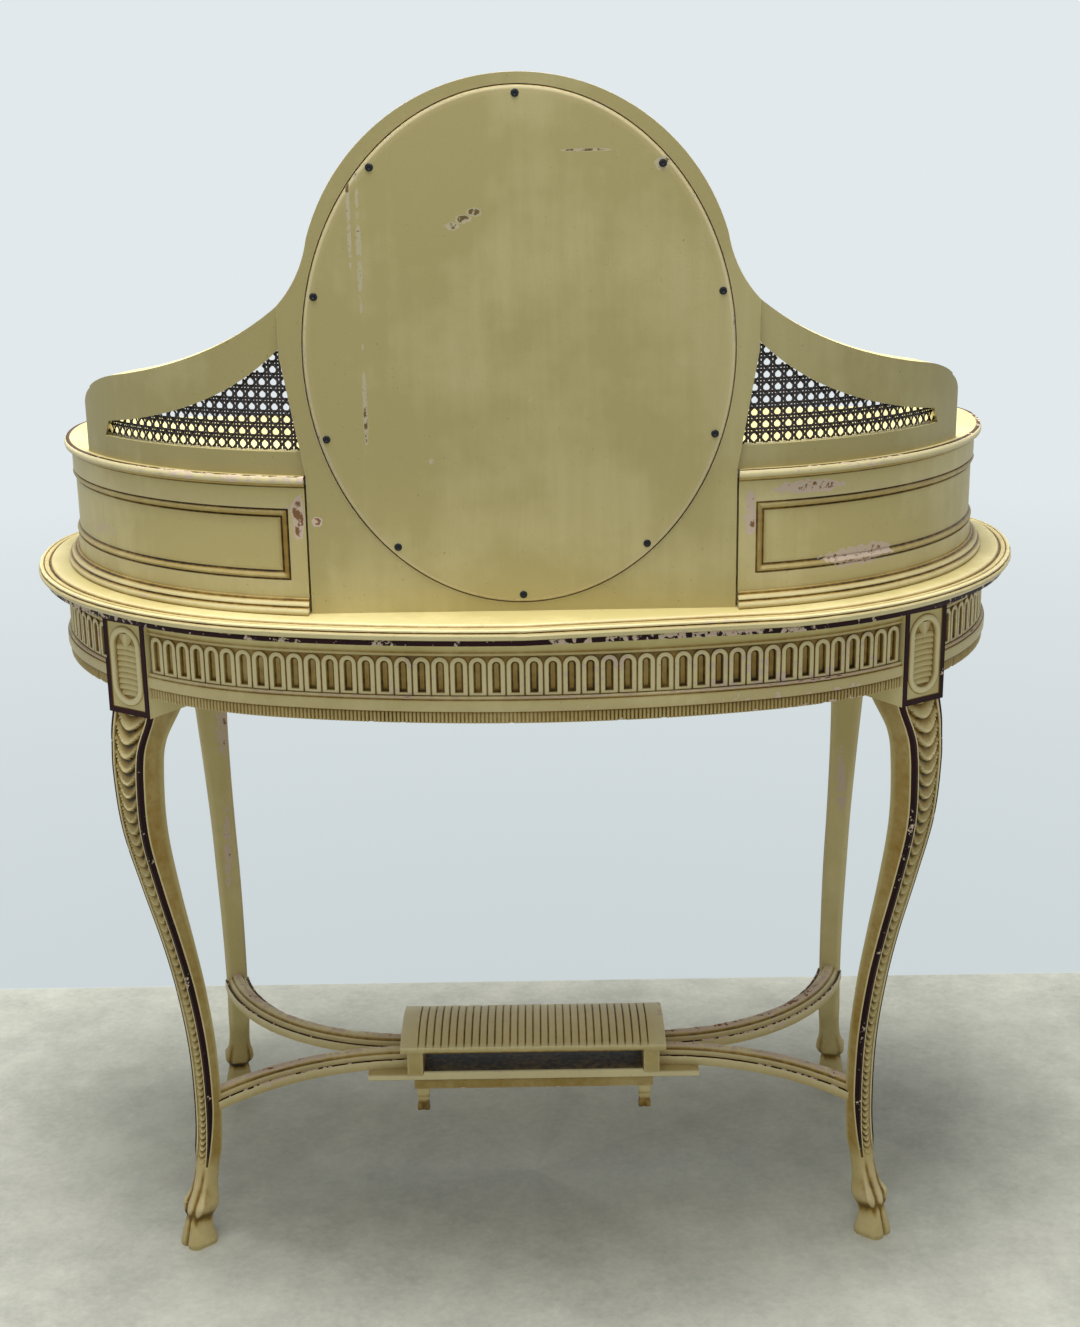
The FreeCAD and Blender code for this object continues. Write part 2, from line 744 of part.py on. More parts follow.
def build_frieze_drawer(knob):
    """Bow-fronted drawer between the front aprons, on its two runners."""
    half = size.frieze_opening_width / 2 - size.drawer_front_gap
    low = apron_bottom + size.frieze_rail_height + size.running_gap
    high = under_top - size.drawer_top_gap
    inner = size.apron_inset + size.drawer_front_thickness
    deep = size.front_edge_radius
    half_turn = 180
    section = upright(size.apron_inset, inner, low, high)
    front_shape = edge_band(section, size.front_leg_angle, 2 * half_turn - size.front_leg_angle)
    front_shape = front_shape.common(Part.makeBox(2 * half, deep, deep, Vector(-half, -deep / 2, 0)))
    front = add_shape("frieze_drawer_front", front_shape)

    start = front_y(0, inner) - size.overrun / 4
    back = start + size.frieze_drawer_depth
    wall = size.drawer_side_thickness
    tall = "sizes.apron_height - sizes.frieze_rail_height - sizes.running_gap"
    tall += " - sizes.drawer_top_gap - sizes.drawer_side_drop"
    inside = 2 * (half - wall)
    sides = {"left": -half, "right": half - wall}
    for name, x in sides.items():
        corner = Vector(x, start, low)
        side = new_box(f"frieze_side_{name}", corner, "sizes.drawer_side_thickness",
                       "sizes.frieze_drawer_depth", tall)
        cut_by(f"frieze_drawer_{name}_side", side, front)
    corner = Vector(-inside / 2, back - wall, low)
    clear = "sizes.frieze_opening_width - 2 * sizes.drawer_front_gap - 2 * sizes.drawer_side_thickness"
    add("frieze_drawer_back", new_box("frieze_back", corner, clear, "sizes.drawer_side_thickness", tall))
    corner = Vector(-inside / 2, start, low)
    floor = new_box("frieze_floor", corner, clear, "sizes.frieze_drawer_depth - sizes.drawer_side_thickness",
                    "sizes.drawer_bottom_thickness")
    cut_by("frieze_drawer_bottom", floor, front)

    knobs = []
    for sign in (-1, 1):
        x = sign * size.frieze_knob_spacing / 2
        place = Vector(x, front_y(x, size.apron_inset), (low + high) / 2)
        knobs.append(knob_at(knob, place, front_shape))
    add_shape("frieze_drawer_knobs", Part.makeCompound(knobs))


def build_cabinet_drawers(knob):
    """One straight drawer in each side cabinet, narrower than its front behind the curved wall."""
    front_depth, opening = cabinet_limits()
    gap = size.drawer_front_gap
    wall = size.drawer_side_thickness
    low = cabinet_floor + size.running_gap
    high = cabinet_ceiling - gap
    left = size.board_half_width + size.cabinet_wall_thickness + gap
    box_left = size.board_half_width + size.cabinet_wall_thickness + size.cabinet_drawer_play
    box_right = box_left + size.cabinet_box_width
    start = front_depth + size.drawer_front_thickness
    back = cabinet_box_back(box_right)
    side_height = high - low - size.drawer_side_drop
    inside = size.cabinet_box_width - 2 * wall
    front = Part.makeBox(opening - gap - left, size.drawer_front_thickness, high - low,
                         Vector(left, front_depth, low))
    blocks = {
        "inner_side": (box_left, start, wall, back - start, side_height),
        "outer_side": (box_right - wall, start, wall, back - start, side_height),
        "back": (box_left + wall, back - wall, inside, wall, side_height),
        "bottom": (box_left + wall, start, inside, back - start - wall, size.drawer_bottom_thickness),
    }
    pieces = {"front": front}
    for name, (x, y, length, width, height) in blocks.items():
        pieces[name] = Part.makeBox(length, width, height, Vector(x, y, low))
    place = Vector((left + opening - gap) / 2, front_depth, (low + high) / 2)
    pieces["knob"] = knob_at(knob, place, front)
    for name, shape in pieces.items():
        add_shape(f"right_drawer_{name}", shape)
        add_shape(f"left_drawer_{name}", mirrored(shape))


def board_outline():
    """Right half of the mirror board's silhouette, from its foot up to the crown, as edges in XZ."""
    arch_z = size.overall_height - size.arch_radius
    foot = Vector(size.board_half_width, 0, size.table_height)
    sill = Vector(size.board_half_width, 0, cabinet_top)
    joint_low = Vector(size.joint_half_width, 0, cabinet_top + size.cane_edge_height)
    joint_high = Vector(size.joint_half_width, 0, cabinet_top + size.wing_joint_height)
    lean = math.radians(size.flare_angle)
    spring = Vector(math.cos(lean), 0, math.sin(lean)) * size.arch_radius + AXIS_Z * arch_z
    chord = spring - joint_high
    hollow = Vector(-chord.z, 0, chord.x) * (size.flare_hollow / chord.Length)
    waist = (joint_high + spring) / 2 + hollow
    crown = Vector(0, 0, size.overall_height)
    half_way = (math.pi / 2 + lean) / 2
    shoulder = Vector(math.cos(half_way), 0, math.sin(half_way)) * size.arch_radius + AXIS_Z * arch_z
    return [
        Part.LineSegment(foot, sill).toShape(),
        Part.LineSegment(sill, joint_low).toShape(),
        Part.LineSegment(joint_low, joint_high).toShape(),
        Part.Arc(joint_high, waist, spring).toShape(),
        Part.Arc(spring, shoulder, crown).toShape(),
    ]


def board_prism(near, far):
    """The mirror board's silhouette between two depths."""
    right = board_outline()
    left = [mirrored(edge) for edge in right]
    half_foot = Vector(size.board_half_width, 0, 0)
    middle = AXIS_Z * size.table_height
    foot = Part.LineSegment(middle - half_foot, middle + half_foot).toShape()
    return silhouette(right + left + [foot]).extrude(DEPTH * (far - near)).translated(DEPTH * near)


def build_mirror():
    """Arched board with an oval opening, the glass, its front bead and the screwed back panel."""
    back = plan.half_depth - size.board_back_inset
    front = back - size.board_thickness
    panel_front = back - size.panel_thickness
    hole_width = size.panel_half_width - size.oval_ledge
    hole_height = size.panel_half_height - size.oval_ledge

    screws = []
    ring_width = size.panel_half_width - size.screw_edge_distance
    ring_height = size.panel_half_height - size.screw_edge_distance
    turns = [0, math.pi]
    turns += [sign * share * math.pi for share in SCREW_TURN_SHARES for sign in (-1, 1)]
    for turn in turns:
        x = ring_width * math.sin(turn)
        z = size.oval_height + ring_height * math.cos(turn)
        seat = Vector(x, back, z)
        head = Part.makeCylinder(size.screw_head_radius, size.screw_head_thickness, seat, DEPTH)
        shank = Part.makeCylinder(size.screw_shank_radius, size.screw_length, seat, -DEPTH)
        screws.append(head.fuse(shank).removeSplitter())

    board = board_prism(front, back)
    board = board.cut(oval_prism(hole_width, hole_height, front, back))
    board = board.cut(oval_prism(size.panel_half_width, size.panel_half_height, panel_front, back))
    add_shape("mirror_board", board.cut(screws))
    panel = oval_prism(size.panel_half_width, size.panel_half_height, panel_front, back)
    add_shape("mirror_back_panel", panel.cut(screws))
    add_shape("mirror_screws", Part.makeCompound(screws))
    glass = oval_prism(hole_width - size.glass_play, hole_height - size.glass_play, front,
                       front + size.glass_thickness)
    add_shape("mirror_glass", glass)
    lap = size.bead_overlap
    wide = size.bead_width - lap
    bead = oval_prism(hole_width + wide, hole_height + wide, front - size.bead_thickness, front)
    bead = bead.cut(oval_prism(hole_width - lap, hole_height - lap, front - size.bead_thickness, front))
    add_shape("mirror_bead", bead)


def wing_curve(start, stop):
    """S curve from the mirror board out to the wing's end."""
    run = stop - start
    poles = [Vector(start.x + a * run.x, 0, start.z + b * run.z) for a, b in WING_CURVE_SHARES]
    curve = Part.BezierCurve()
    curve.setPoles(poles)
    return curve.toShape()


def silhouette(edges):
    """Flat face in XZ from a closed run of edges."""
    return Part.Face(Part.Wire(Part.__sortEdges__(edges)))


def through_depth(face):
    """A silhouette carried right through the table's depth."""
    far = size.back_edge_radius
    return face.extrude(DEPTH * (2 * far)).translated(DEPTH * -far)


def chain(points):
    """Straight edges through points."""
    return [Part.LineSegment(a, b).toShape() for a, b in zip(points, points[1:])]


def wing_faces():
    """Silhouettes of a wing and of its cane, in XZ."""
    inside = size.board_half_width / 2
    joint = Vector(size.joint_half_width, 0, cabinet_top + size.wing_joint_height)
    end = edge_point(size.wing_end_angle, size.wing_inset)
    tip = Vector(end.x + size.overrun, 0, cabinet_top + size.wing_end_height)
    outline = [wing_curve(joint, tip)]
    outline += chain([tip, Vector(tip.x, 0, cabinet_top), Vector(inside, 0, cabinet_top),
                      Vector(inside, 0, joint.z), joint])
    rail = cabinet_top + size.wing_bottom_rail
    drop = AXIS_Z * size.wing_top_rail
    cane_end = Vector(tip.x - size.wing_end_stile, 0, tip.z) - drop
    point = Vector(cane_end.x + (cane_end.z - rail) * CANE_TIP_SHARE, 0, rail)
    opening = [wing_curve(joint - drop, cane_end)]
    opening += chain([cane_end, point, Vector(inside, 0, rail), Vector(inside, 0, joint.z) - drop,
                      joint - drop])
    return silhouette(outline), silhouette(opening)


def wing_corner():
    """Waste outside the rounded top corner at a wing's outer end."""
    out = heading(size.wing_end_angle)
    along = Vector(-out.y, out.x, 0)
    radius = size.wing_corner_radius
    deep = size.wing_thickness + 2 * size.overrun
    corner = edge_point(size.wing_end_angle, size.wing_inset + size.wing_thickness + size.overrun)
    corner = corner + AXIS_Z * (cabinet_top + size.wing_end_height)
    block = Part.Face(Part.makePolygon([
        corner - along * size.overrun + AXIS_Z * radius,
        corner + along * radius + AXIS_Z * radius,
        corner + along * radius - AXIS_Z * radius,
        corner - along * size.overrun - AXIS_Z * radius,
        corner - along * size.overrun + AXIS_Z * radius,
    ])).extrude(out * deep)
    middle = corner + along * radius - AXIS_Z * radius
    return block.cut(Part.makeCylinder(radius, deep, middle, out))


def cane_holes(face):
    """Round gaps of the cane on a square grid along the curve, where they fit inside the silhouette."""
    inset = size.wing_inset + size.wing_thickness / 2
    keep = size.cane_hole_radius + size.cane_margin
    radius = size.end_edge_radius - inset
    step = math.degrees(size.cane_pitch / radius)
    bottom = cabinet_top + size.wing_bottom_rail
    rows = int(size.wing_joint_height / size.cane_pitch)
    holes = []
    for column in range(int(size.wing_end_angle / step)):
        angle = size.wing_end_angle - (column + 1) * step
        place = edge_point(angle, inset)
        across = keep * math.cos(math.radians(angle))
        if place.x < size.joint_half_width + keep:
            continue
        for row_number in range(rows):
            height = bottom + (row_number + 1 / 2) * size.cane_pitch
            spots = ((across, 0), (-across, 0), (0, keep), (0, -keep))
            inside = [face.isInside(Vector(place.x + a, 0, height + b), size.cane_margin / 10, True)
                      for a, b in spots]
            if not all(inside):
                continue
            out = heading(angle)
            foot = place - out * size.overrun + AXIS_Z * height
            holes.append(Part.makeCylinder(size.cane_hole_radius, 2 * size.overrun, foot, out))
    return holes


def build_wings():
    """Curved wing frames on the cabinets, each with a caned opening beside the mirror board."""
    outline, opening = wing_faces()
    inner = size.wing_inset + size.wing_thickness
    tall = cabinet_top + size.wing_joint_height
    far = size.back_edge_radius
    board = board_prism(-far, far)
    band = edge_band(upright(size.wing_inset, inner, cabinet_top, tall), 0, size.wing_end_angle)
    frame = band.common(through_depth(outline)).cut([through_depth(opening), board, wing_corner()])
    add_shape("right_wing_frame", frame)
    add_shape("left_wing_frame", mirrored(frame))

    middle = size.wing_inset + size.wing_thickness / 2
    half = size.cane_thickness / 2
    sheet_band = edge_band(upright(middle - half, middle + half, cabinet_top, tall), 0, size.wing_end_angle)
    cane = sheet_band.common(through_depth(opening)).cut(board).cut(cane_holes(opening))
    add_shape("right_cane_panel", cane)
    add_shape("left_cane_panel", mirrored(cane))


def check_pieces():
    """Stop if any object failed or any piece is empty or broken."""
    for item in doc.Objects:
        if "Invalid" in item.State or "Error" in item.State:
            raise RuntimeError(f"{item.Label} failed: {item.State}")
    for label, item in sub_parts.items():
        if item.Shape.isNull() or not item.Shape.isValid() or not item.Shape.Solids:
            raise RuntimeError(f"{label} has no valid solid")


build_table_frame()
build_footrest()
build_cabinets()
knob_shape = turned_knob()
build_frieze_drawer(knob_shape)
build_cabinet_drawers(knob_shape)
build_mirror()
build_wings()
doc.recompute()
check_pieces()
os.makedirs("parts", exist_ok=True)
for label, item in sub_parts.items():
    item.Shape.exportStep(f"parts/{label}.step")
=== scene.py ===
"""Carved and painted looks of a dressing table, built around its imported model.

Lengths are in millimetres while a piece is carved and become metres in its mesh. The table stands
at the origin with its user side towards -Y, so the photographed back faces +Y.
"""

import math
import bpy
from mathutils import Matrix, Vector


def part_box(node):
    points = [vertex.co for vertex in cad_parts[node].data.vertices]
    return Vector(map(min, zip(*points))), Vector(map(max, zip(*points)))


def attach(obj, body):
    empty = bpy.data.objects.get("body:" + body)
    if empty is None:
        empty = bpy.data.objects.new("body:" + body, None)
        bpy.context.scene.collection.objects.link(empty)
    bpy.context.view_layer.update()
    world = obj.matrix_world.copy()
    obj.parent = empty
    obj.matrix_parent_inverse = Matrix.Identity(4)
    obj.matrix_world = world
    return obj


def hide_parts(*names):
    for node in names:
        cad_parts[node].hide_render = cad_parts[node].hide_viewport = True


bl_info = {
    "name": "Painted dressing table",
    "version": (1, 0, 0),
    "blender": (4, 5, 0),
    "location": "View3D > Sidebar > Dressing table",
    "description": "Carving, cane and aged paint for the packed dressing table",
    "category": "Object",
}

import bmesh
import bpy
from mathutils import Matrix, Vector, noise

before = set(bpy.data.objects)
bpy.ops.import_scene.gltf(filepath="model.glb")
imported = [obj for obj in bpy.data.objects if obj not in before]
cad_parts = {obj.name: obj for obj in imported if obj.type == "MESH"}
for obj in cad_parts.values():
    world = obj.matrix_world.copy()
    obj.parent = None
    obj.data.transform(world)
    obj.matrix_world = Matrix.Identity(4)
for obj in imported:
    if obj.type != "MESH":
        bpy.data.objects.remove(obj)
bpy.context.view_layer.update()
# A millimetre in metres, and a length in millimetres that counts as nothing.
MM = 0.001
TINY = 1e-6
UP = Vector((0, 0, 1))
SIDES = ("right", "left")

# Table edge in plan, as arcs that run into each other, the length of its facets and the main levels.
BACK_RADIUS = 950
END_RADIUS = 390
CORNER_RADIUS = 190
FRONT_RADIUS = 3332
BACK_HALF_ANGLE = 15
EDGE_STEP = 5
UNDER_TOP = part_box("table_top")[0].z / MM
TABLE_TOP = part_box("table_top")[1].z / MM
APRON_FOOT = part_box("back_apron")[0].z / MM
CABINET_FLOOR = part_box("right_cabinet_wall")[0].z / MM
CABINET_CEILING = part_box("right_cabinet_wall")[1].z / MM
CABINET_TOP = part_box("right_cabinet_top")[1].z / MM

# Insets from the table edge and thicknesses of what stands there.
APRON_INSET = 29
APRON_THICKNESS = 21
FRIEZE_FRONT_THICKNESS = 19
KNOB_RADIUS = 11
CABINET_WALL_INSET = 45
CABINET_WALL_THICKNESS = 12
WING_INSET = 48
WING_THICKNESS = 18
WING_END_ANGLE = 59.5
WING_END_HEIGHT = 75
WING_END_SPARE = 5
WING_BORDER = 38
WING_JOINT_HEIGHT = 156

# Frieze: bead strip, lower band, flutes and upper band, from the bottom. A row of flutes stops short
# of its ends, and its ground and the root of its blocks lie below the apron's face.
BEAD_HEIGHT = 12
FLUTE_FOOT = APRON_FOOT + 27
FLUTE_HEAD = UNDER_TOP - 15.5
FLUTE_STOP = 8
FLUTE_STOP_FRONT = 1.2
FLUTE_GROUND = -1.9
FLUTE_ROOT = -6.0
ARCH_STEPS = 10

# Legs, as in the solids. A stance is the normal of the edge where the block stands and the heading of
# the leg's sweep; the twist turns the leg's section away from that heading, in degrees.
BLOCK_WIDTH = 57
BLOCK_HEIGHT = 101
BLOCK_PROUD = 9
LEG_SWEEP = 60
LEG_TOP = UNDER_TOP - BLOCK_HEIGHT
LEG_STANCES = {"back": (43, 34), "front": (162, 160)}
LEG_TWIST = {"back": 10, "front": 8}
# Degrees of the edge that a block takes up on each side of its leg, and on the front one's inner side.
BLOCK_SPAN = 3.4
BLOCK_SPAN_INNER = 4
# Heights down to which the leg's scales grow smaller and its channels are lined, and the columns of
# the scaled face on each side of its middle.
SCALES_FOOT = 84
CHANNEL_FOOT = 88
SCALE_COLUMNS = 8
# Share of the leg's height, of its sweep and, for its width and depth there, of the block's width.
LEG_SHARES = (
    (0.000, -0.40, 0.68, 0.66),
    (0.045, -0.52, 0.47, 0.46),
    (0.072, -0.60, 0.58, 0.52),
    (0.100, -0.75, 0.48, 0.41),
    (0.178, -0.95, 0.45, 0.37),
    (0.265, -1.00, 0.45, 0.37),
    (0.370, -0.95, 0.47, 0.37),
    (0.480, -0.77, 0.50, 0.39),
    (0.575, -0.53, 0.51, 0.43),
    (0.690, -0.18, 0.57, 0.50),
    (0.800, 0.11, 0.67, 0.57),
    (0.900, 0.17, 0.80, 0.59),
    (0.955, 0.11, 0.87, 0.62),
    (1.000, -0.02, 0.92, 0.85),
)

# Stretchers and footrest.
STRETCHER_HALF = 15
STRETCHER_FOOT = 152
STRETCHER_HEIGHT = 20
STRETCHER_LET_IN = 7
FOOTREST_HALF = 150
FOOTREST_DEPTH = 105
FOOTREST_CROWN = 9
FOOTREST_END = 20
TRAY_HALF = 125
TRAY_LIP = 4
FOOTREST_FOOT_WIDTH = 18
FOOTREST_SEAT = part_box("footrest_top")[0].z / MM
FOOTREST_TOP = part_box("footrest_top")[1].z / MM

# Cabinets, mirror and wings. The cabinets' mouldings stop a little short of the mirror board, which
# leaves an open joint, and the board widens up to the joint's height over the cabinets.
BOARD_HALF = 200
JOINT_HALF = 219
JOINT_HEIGHT = 110
CABINET_END = BOARD_HALF + 2.2
CABINET_FRONT_OVERHANG = 7
CABINET_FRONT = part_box("right_cabinet_wall")[0].y / MM
BOARD_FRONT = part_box("mirror_board")[0].y / MM
OVAL_HEIGHT = 986
GLASS_HALF_WIDTH = 183
GLASS_HALF_HEIGHT = 219
WING_RAIL = CABINET_TOP + 22
# Half width and half height of the oval of screws, and their places on it as shares of half a turn.
SCREW_OVAL = (190, 226)
SCREW_TURNS = (0.24, 0.425, 0.61, 0.79)

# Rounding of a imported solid: points this close are one, faces within this angle are one face, and
# edges sharper than the last angle are arrises.
WELD = 0.01
FLAT_ANGLE = 0.6
ARRIS_ANGLE = 30

# Names of the two ages that a vertex carries: soiling in hollows, with painted shade in the deepest of them
# and under things, and paint rubbed off arrises, with a painted highlight along them.
AGES = ("grime_and_shade", "rub_and_highlight")

# The photograph's camera, solved from matching left and right points of the table, in metres and
# degrees, with the lens and the sensor in millimetres.
CAMERA_PLACE = (-0.01446, 1.93921, 1.17488)
CAMERA_TURN = 180
CAMERA_TILT = 74.097
CAMERA_ROLL = -0.889
CAMERA_LENS = 50.19
CAMERA_SENSOR = 36


def linear(code):
    """Linear colour with alpha from an sRGB hex code."""
    parts = [int(code[i:i + 2], 16) / 255 for i in (1, 3, 5)]
    return [c / 12.92 if c <= 0.04045 else ((c + 0.055) / 1.055) ** 2.4 for c in parts] + [1.0]


def colour(name, code, description):
    """Colour setting with its default as a hex code."""
    return bpy.props.FloatVectorProperty(
        name=name, description=description, default=linear(code), size=4, min=0, max=1, subtype="COLOR"
    )


def length(name, default, description):
    """Length setting whose default is given in millimetres."""
    return bpy.props.FloatProperty(
        name=name, description=description, default=default * MM, min=0, unit="LENGTH", subtype="DISTANCE"
    )


class DressingPaint(bpy.types.PropertyGroup):
    """Colours of the painted, metal, cane and glass surfaces."""

    cream: colour("Cream", "#D5C890", "Body colour of the oil paint")
    cream_shade: colour("Yellowed cream", "#C3B57A", "Paint that has yellowed in patches")
    # Lighter cream along the arrises: worn paint and a painted highlight.
    burnish_and_highlight: colour("Rubbed cream", "#E6DAB2", "Paint worn thin and smooth along the arrises")
    glaze: colour("Glaze", "#93742F", "Ochre glaze wiped into the carving")
    # Dark tint of soiling and of painted shade in the deepest quirks and under things, and of fine specks.
    grime_and_shade: colour("Grime", "#2F2613", "Dirt in the deepest quirks")
    primer: colour("Primer", "#CFBBA6", "Pinkish ground under chipped paint")
    panel_ground: colour("Panel ground", "#B9AE8E", "Thin ground under the back panel's paint")
    panel_core: colour("Panel wood", "#6C5A35", "Bare wood of the back panel")
    wood: colour("Bare wood", "#86603F", "Wood where the ground is gone too")
    oxblood: colour("Lining", "#300C12", "Dark red of the painted lines")
    drawer_wood: colour("Drawer wood", "#B48A5A", "Unpainted drawer linings")
    brass: colour("Brass", "#A9843F", "Turned knobs")
    cane: colour("Cane", "#2C1D13", "Stained cane of the wings")
    screw: colour("Screw", "#15171A", "Blackened screw heads")
    silver: colour("Silvering", "#D9DEDD", "Silvered back of the mirror's glass")
    foxing: colour("Foxing", "#8C8A80", "Spots where the silvering has dulled")


class DressingCarving(bpy.types.PropertyGroup):
    """Sizes of the carving and the cane."""

    flute_pitch: length("Flute spacing", 17.5, "From one flute of the frieze to the next")
    flute_rim: length("Flute rim", 4.2, "Width of the raised rim round a flute")
    flute_depth: length("Flute depth", 4.5, "Depth of a flute below its rim")
    reed_pitch: length("Reed spacing", 3.8, "Spacing of the reeded strip under the frieze")
    scale_head: length("Scales at the knee", 15, "Spacing of the leg's scales at the top")
    scale_foot: length("Scales at the ankle", 6.5, "Spacing of the leg's scales at the foot")
    cane_pitch: length("Cane spacing", 11.5, "From one octagonal gap of the cane to the next")
    cane_strand: length("Cane strand", 2.3, "Width of one strand of cane")
    arris: length("Rounded arris", 1.4, "Radius of the rounded edges of mirror board and wings")
    rib_count: bpy.props.IntProperty(
        name="Footrest ribs", description="Ribs across the footrest", default=30, min=2
    )


class DressingStage(bpy.types.PropertyGroup):
    """Floor, backdrop and light."""

    floor: colour("Floor", "#B4B5A8", "Pale concrete floor")
    backdrop: colour("Backdrop", "#E2E9EC", "Pale backdrop behind the floor")
    # Darker foot of the backdrop: painted shade where it meets the floor.
    backdrop_foot_shade: colour("Backdrop foot", "#CBD4D6", "Backdrop where it meets the floor")
    backdrop_distance: length("Backdrop distance", 510, "From the table's middle to the backdrop")
    room: colour("Room", "#F4F6F8", "Colour of the room's light")
    key: bpy.props.FloatProperty(
        name="Key light", description="Overhead light", default=116, min=0, unit="POWER"
    )
    fill: bpy.props.FloatProperty(name="Fill light", description="Light of the room", default=0.42, min=0)


def heading(angle):
    """Unit vector in plan at an angle in degrees from +Y towards +X."""
    return Vector((math.sin(math.radians(angle)), math.cos(math.radians(angle)), 0))


def edge_layout():
    """Arcs of the edge as (centre, radius, first angle, last angle), clockwise from the back."""
    end = heading(BACK_HALF_ANGLE) * (BACK_RADIUS - END_RADIUS)
    corner = end + Vector((END_RADIUS - CORNER_RADIUS, 0, 0))
    reach = FRONT_RADIUS - CORNER_RADIUS
    front = Vector((0, corner.y + math.sqrt(reach**2 - corner.x**2), 0))
    bow = math.degrees(math.asin(corner.x / reach))
    shift = Vector((0, (BACK_RADIUS + front.y - FRONT_RADIUS) / 2, 0))
    across = Matrix.Scale(-1, 3, (1, 0, 0))
    lean = BACK_HALF_ANGLE
    return (
        (-shift, BACK_RADIUS, -lean, lean),
        (end - shift, END_RADIUS, lean, 90),
        (corner - shift, CORNER_RADIUS, 90, 180 - bow),
        (front - shift, FRONT_RADIUS, 180 - bow, 180 + bow),
        (across @ (corner - shift), CORNER_RADIUS, 180 + bow, 270),
        (across @ (end - shift), END_RADIUS, 270, 360 - lean),
    )


EDGE = edge_layout()


def edge_arc(angle):
    """Arc of the edge at a normal, and the normal within that arc's range."""
    for arc in EDGE:
        for candidate in (angle - 360, angle, angle + 360):
            if arc[2] <= candidate <= arc[3]:
                return arc, candidate
    raise ValueError(f"no edge at {angle} degrees")


def edge_point(angle, inset, height=0.0):
    """Point of the edge with that normal, moved inwards and up."""
    (centre, radius, _, _), turn = edge_arc(angle)
    return centre + heading(turn) * (radius - inset) + UP * height


def edge_spans(first, last, inset):
    """Stretches of arc between two normals as (first angle, last angle, length)."""
    spans = []
    for _, radius, low, high in EDGE:
        for turn in (-360, 0):
            start = max(low + turn, first)
            stop = min(high + turn, last)
            if stop > start:
                spans.append((start, stop, math.radians(stop - start) * (radius - inset)))
    return sorted(spans)


def edge_run(first, last, inset):
    """Length of the edge between two normals."""
    return sum(span[2] for span in edge_spans(first, last, inset))


def edge_angles(first, last, step, inset=0.0):
    """Normals from first to last, evenly spaced along the edge and about a step apart."""
    spans = edge_spans(first, last, inset)
    total = edge_run(first, last, inset)
    count = max(1, round(total / step))
    angles = []
    for number in range(count):
        run = total * number / count
        for start, stop, span in spans:
            if run <= span:
                angles.append(start + (stop - start) * run / span)
                break
            run -= span
    return angles + [last]


def along_edge(angle, run, inset):
    """Normal a short run further along the edge, past the end of an arc too."""
    (_, radius, first, last), turn = edge_arc(angle)
    limit = last if run > 0 else first
    room = math.radians(limit - turn) * (radius - inset)
    if abs(run) > abs(room):
        angle += limit - turn
        run -= room
        radius = edge_arc(angle + math.copysign(0.01, run))[0][1]
    return angle + math.degrees(run / (radius - inset))


def edge_line(angle, section):
    """Line of a carving at a normal of the edge, from a section of (inset, height, soiling and painted
    shade, rubbing and painted highlight).
    """
    return [(edge_point(angle, inset, height), grime_and_shade, rub_and_highlight) for inset, height, grime_and_shade, rub_and_highlight in section]


def edge_ruler(first, last, inset, step):
    """Length of the edge between two normals in whole steps, and the normal at a run along it."""
    angles = edge_angles(first, last, step, inset)

    def angle_at(run):
        position = min(max(run / step, 0), len(angles) - 1.001)
        low = int(position)
        return angles[low] + (angles[low + 1] - angles[low]) * (position - low)

    return (len(angles) - 1) * step, angle_at


def ease(low, high, value):
    """Smooth step from 0 at low to 1 at high."""
    share = min(max((value - low) / (high - low), 0), 1)
    return share * share * (3 - 2 * share)


def bell(value, middle, width):
    """Rounded bump of height 1."""
    return math.exp(-(((value - middle) / width) ** 2))


def knock(place, size, level, depth):
    """Depth of the knocks at a place: the peaks of a noise of a size, above a level."""
    return max(noise.noise(place / size) - level, 0) * depth


def smooth_row(rows, share):
    """Row of numbers at a share, through the rows given by their first number."""
    keys = [row[0] for row in rows]
    at = max(i for i in range(len(rows) - 1) if keys[i] <= share)
    low, high = rows[at], rows[at + 1]
    before = rows[max(at - 1, 0)]
    after = rows[min(at + 2, len(rows) - 1)]
    span = high[0] - low[0]
    t = (share - low[0]) / span
    out = []
    for b, p, q, a in zip(before[1:], low[1:], high[1:], after[1:]):
        enter = (q - b) / (high[0] - before[0]) * span
        leave = (a - p) / (after[0] - low[0]) * span
        cubic = 2 * t**3 - 3 * t**2
        out.append((cubic + 1) * p + (t**3 - 2 * t**2 + t) * enter - cubic * q + (t**3 - t**2) * leave)
    return out


